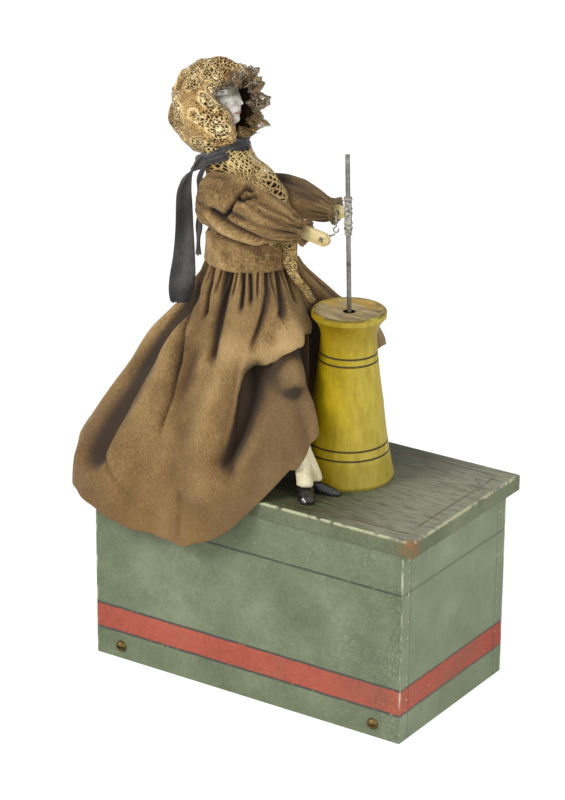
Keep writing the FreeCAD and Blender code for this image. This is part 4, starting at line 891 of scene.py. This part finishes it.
# %% Sleeves
shoulder_x, shoulder_aside, shoulder_z = -31.0, 15.0, 202.5
sleeve_rows = [(-11.5, 0.0, 0.0), (-11.4, 3.0, 5.0), (-10.0, 5.6, 8.8), (-7.5, 7.0, 11.0), (-2.0, 7.9, 12.8),
               (4.0, 8.1, 13.2), (12.0, 8.0, 12.6), (20.0, 7.6, 10.6), (27.0, 6.7, 8.2), (32.0, 5.5, 6.2),
               (35.0, 4.3, 4.6), (36.2, 3.9, 4.2), (37.4, 4.6, 5.3), (38.4, 4.9, 5.7), (38.2, 3.4, 3.8),
               (36.5, 2.2, 3.0)]
turned_in = -3


def sleeve_cloth(name, arm_y, side, drop, folds, seed, slack=(1, 1)):
    """A sleeve round its arm. The slack narrows its height at the shoulder and at the elbow."""
    def place(u, v):
        around = 360 * u - 90
        steps = by_length(sleeve_rows, (0, 2))
        along, ry, rz = along_rows(sleeve_rows, v, steps)
        rz = rz * np.interp(along, [-8, 18, 34], [slack[0], slack[1], 1])
        swing = np.radians(around)
        size = np.maximum(rz, 1)
        shift = 0 * v
        for line, depth, half in folds:
            shift = shift + fold(around, along, size, line, depth, half, fade=4)
        gather = 0.5 * np.sin(swing * 17 + seed) + 0.3 * np.sin(swing * 29 + 2 * seed)
        shift = shift + ease((along - 24) / 10) * gather * 0.8 + ease((-4 - along) / 5) * gather * 0.7
        shift = shift + 0.3 * np.sin(swing * 3 + along * 0.3 + seed) + 0.25 * np.sin(swing * 7 - along * 0.2)
        shift = np.where(v > steps[turned_in], 0, shift) * ease((rz - 1) / 4)
        middle = figure_y + side * shoulder_aside
        centre = middle + (arm_y - middle) * np.clip((along - 10) / 28, 0, 1)
        z = (rz + shift) * np.sin(swing) - 5.0 * (1 - slack[0]) * ease((22 - along) / 22)
        turn = np.radians(drop)
        x = along * np.cos(turn) + z * np.sin(turn)
        z = z * np.cos(turn) - along * np.sin(turn)
        return shoulder_x + x, centre - (ry + shift) * np.cos(swing), shoulder_z + z, shift / 2.2
    return cloth(name, brown_cloth, 190, 130, place, (70, 60))


# %% Folds of the sleeves
near_folds = [
    ([(74, 12), (70, 11.2), (54, 10.2), (38, 9.6), (22, 8.8), (4, 7.2), (-14, 5)], -4.0, (2.0, 1.5)),
    ([(62, 15.5), (52, 14), (38, 12)], -2.0, (1.4, 0.9)),
    ([(38, 11), (33, 16), (26, 22), (23, 28), (22, 32), (34, 37)], -2.0, (1.0, 1.6)),
    ([(48, 14), (50, 22), (56, 32)], -1.5, 1.3),
    ([(4, 9), (-2, 16), (-6, 24), (-4, 34)], -1.3, 1.3),
    ([(32, 14), (32, 24), (32, 34)], 1.1, 3.0),
    ([(-18, -2), (-32, 4), (-44, 13), (-58, 21), (-60, 32)], 1.9, 1.6),
    ([(-8, 1), (-12, 4), (-22, 10), (-28, 14), (-42, 19), (-54, 23), (-58, 31)], -2.8, (1.2, 1.6)),
    ([(70, -6), (72, 0)], -1.2, 1.6),
    ([(90, 2), (84, 14), (80, 30)], 1.0, 3.0),
    ([(100, 6), (98, 20), (92, 32)], -1.2, 1.8),
    ([(-5, -8), (-8, 2)], -0.9, 1.6),
]
far_folds = [
    ([(30, 2), (36, 14), (38, 30)], -1.4, 2.0),
    ([(62, -2), (60, 12), (56, 32)], -1.6, 2.0),
    ([(84, 2), (82, 16), (76, 32)], 1.1, 2.2),
    ([(46, 6), (48, 20), (48, 32)], 0.9, 2.2),
    ([(104, 4), (102, 16), (96, 32)], -1.5, 2.0),
    ([(128, 4), (124, 16), (116, 32)], -1.2, 2.0),
    ([(160, 0), (156, 16), (150, 32)], -1.4, 2.2),
    ([(-150, 4), (-150, 30)], -1.2, 2.2),
]
near_sleeve, _ = sleeve_cloth("near_sleeve", -7.4, -1, 9.7, near_folds, 1.0)
far_sleeve, _ = sleeve_cloth("far_sleeve", 14.6, 1, 4.9, far_folds, 2.3, (0.5, 0.74))
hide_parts("right_sleeve")
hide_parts("left_sleeve")
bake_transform(near_sleeve)
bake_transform(far_sleeve)

# %% [markdown]
# ## Shape of the head
# A small composition head is cast in a mould. The face is a smooth egg whose front is pushed out or in for
# nose, lips, chin and eyes. It looks ahead and a little up, so all its shapes are placed in the head's own
# turned directions.

# %% Shape of the head
head_at = (-43, figure_y, 241)
head_turn = Matrix.Rotation(math.radians(-6), 3, "Z") @ Matrix.Rotation(math.radians(-8), 3, "Y")
chin, brow_rise = -12.4, 0.8
hollows, lids, cheeks = (4.0, -0.7, 1.8, 4.6, 1.4), (4.0, 0.5, 1.2, 4.6, 0.7), (4.0, 0.9, 2.2, -0.8, 2.2)
mouth, upper_lip, lower_lip = (0, 1.4, 3.2, -4.4, 2.4), (0, 0.9, 2.1, -3.9, 0.5), (0, 0.9, 2.1, -4.9, 0.55)
jaw = (0, 2.6, 2.8, -8.0, 1.7)


def head_place(u, v):
    around = 2 * np.pi * u + np.pi
    height = -24 + 36.5 * np.sin(v * np.pi / 2)
    egg = np.sqrt(np.clip(1 - (np.clip(height, chin, 12.5) / 12.55) ** 2, 0, 1)) ** 0.9
    egg = np.where(height < chin, 0, egg)
    neck = 4.3 * (height > -24.5) * (height < 0)
    y = np.maximum(7.9 * egg, neck) * np.sin(around)
    level = height + brow_rise
    shift = 3.9 * hump(y, 0, 1.5) * ease((4.4 - level) / 5.2) * ease((level + 1.8) / 1.0)
    shift = shift + 0.5 * hump(level, 6.6, 1.6) * hump(y, 0, 5)
    for aside, rise, half_y, up, half_up in (hollows, lids, cheeks, mouth, upper_lip, lower_lip, jaw):
        shift = shift + rise * hump(abs(y), aside, half_y) * hump(level, up, half_up)
    x = np.maximum(8.3 * egg, neck) * np.cos(around) + shift * ease(np.cos(around) * 1.6) * (egg > 0.2)
    points = np.stack([x, y, height], -1) @ np.array(head_turn).T + np.array(head_at)
    return *points.T, 0 * x


# %% [markdown]
# ## Paint of the face
# The face is painted white with red lips and faint eyes, is darker and grey-green over the forehead and
# chipped all over. The masks are measured in the head's own directions.

# %% Paint of the face
face_paint = Finish("face_paint", roughness=0.42)
turned_back = face_paint.node("ShaderNodeMapping", {"vector_type": "TEXTURE"}, {
    "Vector": face_paint.place, "Location": Vector(head_at) * mm, "Rotation": head_turn.to_euler()})
fx, fy, fz = face_paint.axes(turned_back.outputs[0])
fz = fz + brow_rise
side = fy.size()
front = fx.over(2, 3)
cloud = face_paint.noise(150, 4, 0.6)
grit = face_paint.noise(900, 3, 0.6)
patchy = grit.over(0.3, 0.5)
face_paint.first(face_paint.ramp(cloud * 0.6 + grit * 0.4, {0.35: (206, 202, 190), 0.6: (236, 233, 224)}))
# Darker and grey-green over the forehead.
face_paint.coat((fz + (cloud - 0.5) * 5).over(1.4, 3.2) * (patchy * 0.3 + 0.6), (92, 88, 66))
face_paint.coat(side.near(4.9, 1.6, 0.6) * fz.near(4.8, 0.8, 0.5) * front, (214, 212, 202))
face_paint.coat(side.near(4.8, 0.45, 0.3) * fz.near(4.8, 0.35, 0.3) * front * 0.7, (84, 84, 80))
face_paint.coat(side.near(4.2, 1.8, 0.4) * fz.near(5.9, 0.18, 0.16) * front * 0.8, (70, 62, 54))
lips = (side * 0.3 + (fz + 4.4).size()).over(1.0, 0.6) * side.over(2.4, 1.9) * fx.over(5, 7)
face_paint.coat(lips * (patchy * 0.4 + 0.5), (166, 66, 52))
face_paint.coat(side.near(4.8, 1.0, 2.2) * fz.near(-1.2, 0.8, 2.0) * 0.18, (214, 150, 132))
face_paint.coat(face_paint.noise(330, 4, 0.65).over(0.54, 0.64) * 0.7, (128, 116, 90))
face_paint.bump(grit * 0.5 + cloud, 0.12, 0.5)
head, _ = cloth("doll_head", face_paint, 96, 96, head_place, (60, 60))
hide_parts("head")
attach(head, "case")

# %% [markdown]
# ## Lace
# The bonnet is crochet gone golden with age, over a lining whose dark brown is painted shade. Close thread
# work covers most of it, its threads rounded by a painted highlight along their middles and painted shade at
# the edges of the holes. Rings round the middles of wide cells, and loose patches, are worked as a net of
# small holes. The holes are cut away with alpha, so the lining shows through them as it does on the real
# lace.

# %% Lace
gold = (212, 176, 104)


def lace(name, hole, flower_size, pale, mid, dark, much, golden_below=None):
    """Crochet with holes and flowers of the sizes given. More of its patches open as much grows."""
    finish = Finish(name, roughness=0.8, Sheen_Weight=0.15)
    net = finish.cells(1 / (hole * mm), "DISTANCE_TO_EDGE", source=finish.uv)
    flower = finish.cells(1 / (flower_size * mm), "F1", source=finish.uv)
    patches = finish.noise(0.9 / (flower_size * mm), 2, 0.5, source=finish.uv)
    thread = finish.noise(2600, 2, 0.6, source=finish.uv)
    cloud = finish.noise(90, 4, 0.65)
    opened = patches.over(0.62 - 0.2 * much, 0.68 - 0.2 * much)
    zone = flower.near(0.3, 0.07, 0.05).most(opened) * flower.over(0.1, 0.16)
    gap = zone * net.over(0.1, 0.16)
    ridges = ((flower * 44).do("SINE") * 0.5 + 0.5) * flower.over(0.55, 0.4)
    # The middles of the threads are a little paler: a painted highlight.
    tone = thread * 0.5 + cloud * 0.3 + ridges * 0.14 + net.over(0.25, 0) * 0.06
    finish.first(finish.ramp(tone, {0.4: dark, 0.48: mid, 0.56: pale}))
    # Painted shade at the edges of the holes, so the threads look round.
    finish.coat(zone * net.over(0.02, 0.12) * 0.6, dark)
    if golden_below:
        finish.coat(finish.axes()[2].over(golden_below, golden_below - 6) * 0.6, gold)
    finish.feed("Alpha", 1 - gap)
    finish.bump(thread * 0.6 + ridges - gap * 2, 0.3, 0.9)
    return finish


bonnet_lace = lace("bonnet_lace", 1.1, 8.2, (252, 234, 184), gold, (126, 90, 40), 0.7)
frill_lace = lace("frill_lace", 1.0, 5.2, (240, 228, 200), (168, 136, 92), (70, 50, 30), 0.9,
                  golden_below=236)
# The lining's dark brown is painted shade, seen through the holes of the lace.
bonnet_lining = Finish("bonnet_lining", roughness=0.9)
cloud = bonnet_lining.noise(90, 4, 0.65)
grit = bonnet_lining.noise(900, 2, 0.6)
tone = cloud * 0.6 + grit * 0.4
bonnet_lining.first(bonnet_lining.ramp(tone, {0.34: (48, 32, 16), 0.5: (84, 60, 32), 0.66: (118, 88, 50)}))
bonnet_lining.bump(grit, 0.3, 0.8)

# %% [markdown]
# ## Bonnet
# A soft bag of crochet drawn in at the nape and open round the face, larger than the head. It is modelled as
# ovals from the crown to the rim. The near side comes further forward and lies flat against the cheek, and
# the top of the rim sinks over the forehead. The ribbon ties it down, so it stays above the ribbon's slanting
# plane.

# %% Bonnet
bonnet_rows = [(-19.6, 0.0, 0.0), (-19.2, 4.5, 7.5), (-17.0, 8.8, 14.5), (-12.5, 11.8, 18.6),
               (-5.0, 13.2, 21.0), (4.0, 13.5, 21.2), (11.0, 13.4, 20.2), (15.0, 13.3, 19.4)]
bonnet_centre = (-43, figure_y, 237)
bonnet_turn = math.radians(-20)
neck_x, neck_level, neck_slope, ribbon_half = -42, 218, 0.466, 2.9


def over_ribbon(x, z, gap):
    """Keeps the bonnet above the slanting plane of the neck ribbon, with a soft bend where it meets it."""
    plane = neck_level + (x - neck_x) * neck_slope + ribbon_half + gap
    return plane + np.logaddexp(0, (z - plane) / 0.8) * 0.8


def bonnet_surface(around, t, out):
    """A point of the bonnet round its opening and from crown to rim, and how far it is crumpled out."""
    x, ry, rz = along_rows(bonnet_rows, t, by_length(bonnet_rows, (0, 2)))
    degrees = np.degrees(around) % 360
    x = x + 7.0 * hump(turned(degrees - 200), 0, 42) * ease((t - 0.55) / 0.45)
    cheek = ease((degrees - 147) / 30) * ease((268 - degrees) / 36) * ease((t - 0.7) / 0.3)
    crumple = 0.4 * np.sin(5 * around + 7 * t) + 0.3 * np.sin(9 * around - 16 * t + 1)
    crumple = crumple + 0.15 * np.sin(17 * around + 23 * t)
    crumple = crumple + 0.5 * np.sin(34 * around + 3 * np.sin(6 * t)) * ease((t - 0.62) / 0.3)
    grow = (crumple + out) * ease(t / 0.12)
    y = (ry + grow) * np.cos(around) * (1 - 0.62 * cheek)
    z = (rz + grow) * np.sin(around)
    z = z + np.where(z > 0, np.interp(x, [-18, -8, 2, 12], [-4.0, -3.2, -0.8, 1.2]) * ease(z / 12), 0)
    x = x - 3.0 * ease(-z / 10) * ease((4 - x) / 14)
    brim = hump(turned(degrees - 108), 0, 34) * ease((t - 0.78) / 0.22)
    x, z = x + 3.0 * brim - out * (1 - ease(t / 0.3)) - 5.3, z - 4.5 * brim
    cx, cy, cz = bonnet_centre
    x, y = (cx + x * math.cos(bonnet_turn) - y * math.sin(bonnet_turn),
            cy + x * math.sin(bonnet_turn) + y * math.cos(bonnet_turn))
    return x, y, over_ribbon(x, z + cz, out * 0.3), crumple


def lining_place(u, v):
    return bonnet_surface(2 * np.pi * u, v, -0.6)


def bonnet_place(u, v):
    return bonnet_surface(2 * np.pi * u, v, 0.35 + 0.2 * np.sin(60 * v + 9 * u))


lining, _ = cloth("bonnet_lining", bonnet_lining, 120, 60, lining_place, (105, 48), thick=0.5)
bonnet, _ = cloth("bonnet_lace", bonnet_lace, 160, 90, bonnet_place, (105, 48), thick=0.3)
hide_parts("bonnet")
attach(lining, "case")
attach(bonnet, "case")

# %% [markdown]
# ## Frill
# The edge of the bonnet is a strip of the same crochet, rolled over. On the near side it is thin, and on the
# far side it is crushed into round lumps. A ruffle of flat scallops would look new, so it is one closed tube
# that swells at the lumps.

# %% Frill
lumps = [(98, 2.2), (76, 1.9), (53, 2.8), (31, 2.1), (9, 3.2), (-17, 3.3), (-44, 3.0), (-68, 2.6)]


def frill_place(u, v):
    degrees = 238 - 318 * u
    around = np.radians(degrees)
    far = ease((118 - degrees) / 24)
    swell = sum(size * hump(degrees, at, 6.8) for at, size in lumps)
    spin = 2 * np.pi * v
    crush = 1 + 0.16 * np.sin(3 * spin + 0.21 * degrees) + 0.12 * np.sin(5 * spin - 0.5 * degrees)
    size = (0.9 + 0.5 * far + swell) * ease(u / 0.02) * ease((1 - u) / 0.02)
    size = size * (crush + 0.1 * np.sin(1.3 * degrees))
    x, y, z, _ = bonnet_surface(around % (2 * np.pi), 0 * v + 1.0, 0.2)
    out = size * np.cos(spin) + swell * 0.3 - 2.3 * far
    ahead = size * np.sin(spin) * (0.8 + 0.2 * far) + swell * 0.4
    beside = np.cos(around) * out
    px = x + ahead * math.cos(bonnet_turn) - beside * math.sin(bonnet_turn)
    py = y + ahead * math.sin(bonnet_turn) + beside * math.cos(bonnet_turn)
    return px, py, over_ribbon(px, z + np.sin(around) * out, 0.2), 0 * px


frill, _ = cloth("frill_lace", frill_lace, 420, 36, frill_place, (190, 18))
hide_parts("bonnet_frill")
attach(frill, "case")

# %% [markdown]
# ## Neck ribbon
# A black velvet ribbon is wound round the neck under the bonnet and slopes down to the back. Its turns lie on
# each other, so they are one ring with a ridge for each ply.

# %% Neck ribbon
black_ribbon = Finish("black_ribbon", roughness=0.85, Sheen_Weight=0.5, Sheen_Roughness=0.4)
nap = black_ribbon.noise(1500, 2, 0.6, stretch=(1, 0.3, 1), source=black_ribbon.uv)
cloud = black_ribbon.noise(60, 4, 0.6)
# The ridges of the plies and bends are painted paler and the dips between them darker: painted light and
# shade.
tone = nap * 0.35 + cloud * 0.4 + (black_ribbon.attribute("crest") * 0.5 + 0.5) * 0.25
black_ribbon.first(black_ribbon.ramp(tone, {0.32: (30, 29, 30), 0.5: (56, 54, 54), 0.68: (88, 84, 84)}))
black_ribbon.bump(nap, 0.2, 0.7)


def ring_place(u, v):
    around = 2 * np.pi * u
    profile = 2 * np.pi * v
    wide = ribbon_half + 0.5 * np.sin(2 * around + 1) + 0.25 * np.sin(5 * around)
    wide = wide + 0.8 * hump(turned(np.degrees(around) + 40), 0, 50)
    corner = np.maximum(abs(np.cos(profile)), abs(np.sin(profile))) ** 0.75
    radial = np.cos(profile) / corner
    high = np.sin(profile) / corner * wide
    ply = 0.28 * np.sin(high * 3.1 + 2 * around) + 0.2 * np.sin(9 * around + high)
    radius = 8.1 + 3.2 * radial + ply * (radial > 0.2)
    x = radius * np.cos(around)
    return neck_x + x, figure_y + radius * np.sin(around), neck_level + high + x * neck_slope, ply * 2


neck_ribbon, _ = cloth("neck_ribbon_band", black_ribbon, 140, 40, ring_place, (72, 18))
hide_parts("neck_ribbon")
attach(neck_ribbon, "case")

# %% [markdown]
# ## Ends of the ribbon
# One end of the ribbon turns over at the near side and hangs behind the shoulder, frayed at its end. A thin
# second strand hangs beside it. Each is a strip along a line of centres, with the half width as an arrow at
# every centre.

# %% Ends of the ribbon


def strip(centres, acrosses, wave, ragged):
    """place(u, v) for a strip along centres, with half widths across, both as rows of points."""
    def smooth(rows, t):
        total = 0
        for shift in (-0.05, -0.025, 0, 0.025, 0.05):
            total = total + np.stack(along_rows(rows, np.clip(t + shift, 0, 1)), -1)
        return total / 5

    def place(u, v):
        frayed = (0.5 + 0.5 * np.sin(u * 61)) * (0.5 + 0.5 * np.sin(u * 23 + 1)) * ease((v - 0.85) / 0.15)
        end = v * (1 - ragged * frayed)
        across = smooth(acrosses, end)
        points = smooth(centres, end) + across * (2 * u - 1)[..., None]
        normal = unit(np.cross(across, np.array([0, 0, 1.0]) + 0 * across))
        bend = np.sin(v * 9 + 2 * u) * 0.6 + np.sin(u * 7 + v * 4) * 0.5 + 0.3 * np.sin(v * 31 + u * 3)
        points = points + normal * wave * bend[..., None]
        return *points.T, bend
    return place


tail_centres = [(-43.6, -6.2, 216.8), (-46.5, -8.6, 215.8), (-49.4, -10.8, 211.5), (-50.2, -12.2, 205.5),
                (-49.6, -12.8, 198), (-49.4, -12.9, 188), (-49.5, -13.1, 177), (-50.0, -13.6, 168),
                (-50.6, -14.0, 161), (-51.2, -14.4, 155.5)]
tail_across = [(0.8, 0.2, 3.2), (1.2, 0.6, 3.2), (2.0, 1.2, 2.2), (2.5, 1.7, 0.9), (2.9, 1.9, 0.2),
               (3.1, 2.1, 0), (3.7, 2.5, 0), (4.6, 3.0, 0), (4.4, 2.9, 0), (2.8, 1.9, 0)]
tail_place = strip(tail_centres, tail_across, 0.5, 0.03)
tail, tail_area = cloth("ribbon_tail_cloth", black_ribbon, 26, 120, tail_place, (9, 66), False, 0.5)
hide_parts("ribbon_tail")
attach(tail, "case")
strand_centres = [(-42.5, -5.6, 217.0), (-44.9, -8.6, 211), (-44.7, -9.2, 205), (-44.3, -9.6, 200),
                  (-44.6, -9.8, 195), (-44.2, -9.8, 190), (-44.7, -10.0, 184), (-44.4, -10.0, 176)]
strand_across = [(0.8, 0.3, 0.4), (1.1, 0.7, 0), (0.5, 0.3, 0), (1.4, 0.9, 0), (0.4, 0.2, 0), (1.4, 0.9, 0),
                 (0.4, 0.2, 0), (1.2, 0.8, 0)]
strand_place = strip(strand_centres, strand_across, 0.25, 0.06)
strand, _ = cloth("ribbon_strand", black_ribbon, 8, 70, strand_place, (2.4, 42), False, 0.4)
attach(strand, "case")

# %% [markdown]
# ## Net of the scarf
# The scarf is darned net: two sets of slanting bars, a little uneven, with some of the squares filled by
# thread. The squares between are cut away with alpha. Its hanging end is crochet like the bonnet's.

# %% Net of the scarf
scarf_lace = lace("scarf_lace", 1.1, 5.0, (244, 220, 150), (206, 172, 96), (118, 88, 44), 0.9)
scarf_net = Finish("scarf_net", roughness=0.8, Sheen_Weight=0.15)
slanted = scarf_net.stretched((1, 1, 1), (0, 0, math.radians(38)), source=scarf_net.uv)
wobble = (scarf_net.noise(300, 2, 0.5, source=scarf_net.uv) - 0.5) * 0.7
across, along, _ = scarf_net.axes(slanted)
bars = [((axis + wobble) * (1 / spacing)).do("FRACT") for axis, spacing in ((across, 2.2), (along, 1.5))]
bars = [(bar - 0.5).size().over(0.3, 0.36) for bar in bars]
thread = scarf_net.noise(2400, 2, 0.6, source=scarf_net.uv)
filled = scarf_net.noise(230, 3, 0.6, source=scarf_net.uv).over(0.52, 0.56)
kept = bars[0].most(bars[1]).most(filled * thread.over(0.36, 0.44))
tone = thread * 0.55 + scarf_net.noise(90, 3, 0.6) * 0.45
scarf_net.first(scarf_net.ramp(tone, {0.38: (112, 84, 44), 0.48: (182, 150, 88), 0.6: (240, 216, 152)}))
scarf_net.feed("Alpha", kept)
scarf_net.bump(kept + thread * 0.5, 0.3, 0.9)

# %% [markdown]
# ## Scarf
# The scarf lies over the shoulders and chest and is drawn together at the waist, with one lace end hanging
# over the band. It is laid just outside the bodice, wide at the neck and narrow at the waist.

# %% Scarf
scarf_levels = [186, 200, 212, 222]


def on_bodice(height, angle, out):
    rows = bodice_rows[1:-1]
    cx, _, rx, ry = along_rows(rows, height, [row[1] for row in rows])
    across, deep = squared(angle, height)
    return cx + (rx + out) * across, figure_y + (ry + out) * deep


def scarf_place(u, v):
    height = 222.6 - 36 * v
    start = np.interp(height, scarf_levels, [-34, -62, -96, -120])
    stop = np.interp(height, scarf_levels, [22, 40, 62, 75])
    roll = 0.5 * hump(u, 0.02, 0.05) + 0.5 * hump(u, 0.98, 0.05)
    ripple = 0.35 * np.sin(14 * u + 11 * v) + 0.3 * np.sin(33 * v + 5 * u) + roll
    x, y = on_bodice(height, np.radians(start + (stop - start) * u), 1.5 + ripple)
    return x, y, height + 0.6 * np.sin(9 * u), ripple


scarf, scarf_area = cloth("scarf_cloth", scarf_net, 90, 90, scarf_place, (36, 42), False, 0.3)
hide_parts("fichu")
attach(scarf, "case")
end_centres = [(-9.4, 0.4, 192), (-7.0, 0.8, 185.5), (-6.4, 1.0, 178), (-5.2, 1.4, 173), (1.0, 1.6, 168),
               (5.2, 1.8, 162.5)]
end_across = [(1.0, 2.6, 0), (1.2, 3.3, 0), (1.1, 3.2, 0), (0.7, 2.0, 0), (0.6, 1.7, 0.2), (0.4, 1.3, 0.2)]
end_place = strip(end_centres, end_across, 0.3, 0.15)
lace_end, lace_end_area = cloth("scarf_end", scarf_lace, 18, 60, end_place, (5.6, 34), False, 0.3)
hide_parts("fichu_tail")
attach(lace_end, "case")

# %% [markdown]
# ## Legs and shoes
# Of the legs only a cream shin and two small black shoes show under the hem. The stocking ends in a loose
# edge just over the shoe. Each leg is a tube along hip, knee and ankle.

# %% Legs
stocking = Finish("stocking", roughness=0.75, Sheen_Weight=0.2)
cloud = stocking.noise(120, 4, 0.6)
knit = stocking.noise(1400, 1, 0.5)
stocking.first(stocking.ramp(cloud * 0.7 + knit * 0.3, {0.34: (196, 182, 140), 0.6: (234, 226, 194)}))
stocking.bump(knit + cloud, 0.15, 0.5)
leg_radii = np.array([0, 2.4, 3.4, 3.8, leg_radius, 3.7, 3.5, 3.1, 3.4, 3.6, 0])
knee_bend = 5.0


def leg_tube(name, hip, knee, ankle):
    hip, knee, ankle = (np.array(p, float) for p in (hip, knee, ankle))
    up, down = unit(hip - knee), unit(ankle - knee)
    foot = ankle - np.array([0, 0, 1.0])
    centres = np.array([hip + up * 3.2, hip + up * 3.0, hip, knee + up * knee_bend, knee + (up + down) * 1.2,
                        knee + down * knee_bend, knee + (ankle - knee) * 0.55, knee + (ankle - knee) * 0.86,
                        ankle, foot, foot])
    parts = np.linalg.norm(np.diff(centres, axis=0), axis=1) + abs(np.diff(leg_radii))
    steps = np.concatenate([[0], np.cumsum(parts)])
    steps = steps / steps[-1]

    def centre(v):
        return np.stack(along_rows(centres, np.clip(v, 0, 1), steps), -1)

    def place(u, v):
        radius = np.interp(v, steps, leg_radii)
        flat = ease((v - 0.93) / 0.04)[..., None]
        ahead = unit(centre(v + 0.04) - centre(v - 0.04)) * (1 - flat) + np.array([0, 0, -1.0]) * flat
        side = unit(np.cross(ahead, np.array([0.0, 1.0, 0.0]) + 0 * ahead))
        other = np.cross(ahead, side)
        turn = 2 * np.pi * u
        wrinkle = 0.12 * np.sin(5 * turn + 40 * v) + 0.2 * np.sin(3 * turn + 1) * ease((v - 0.85) / 0.1)
        radius = np.where(radius > 0.5, radius + wrinkle, radius)[..., None]
        points = centre(v) + radius * (side * np.cos(turn)[..., None] + other * np.sin(turn)[..., None])
        return *points.T, wrinkle
    leg, _ = cloth(name, stocking, 40, 90, place, (24, 90))
    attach(leg, "case")
    return leg


near_leg = leg_tube("near_leg", *leg_points[0])
far_leg = leg_tube("far_leg", *leg_points[1])
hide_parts("right_leg")
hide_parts("left_leg")

# %% Shoes
shoe_black = Finish("shoe_black", roughness=0.16, Coat_Weight=0.6, Coat_Roughness=0.08)
scuff = shoe_black.noise(500, 3, 0.65)
shoe_black.first(shoe_black.ramp(scuff, {0.4: (14, 13, 14), 0.7: (52, 50, 50)}))
shoe_black.feed("Roughness", 0.14 + scuff * 0.2)
shoe_black.bump(scuff, 0.05, 0.4)
wear(["right_shoe", "left_shoe"], shoe_black)
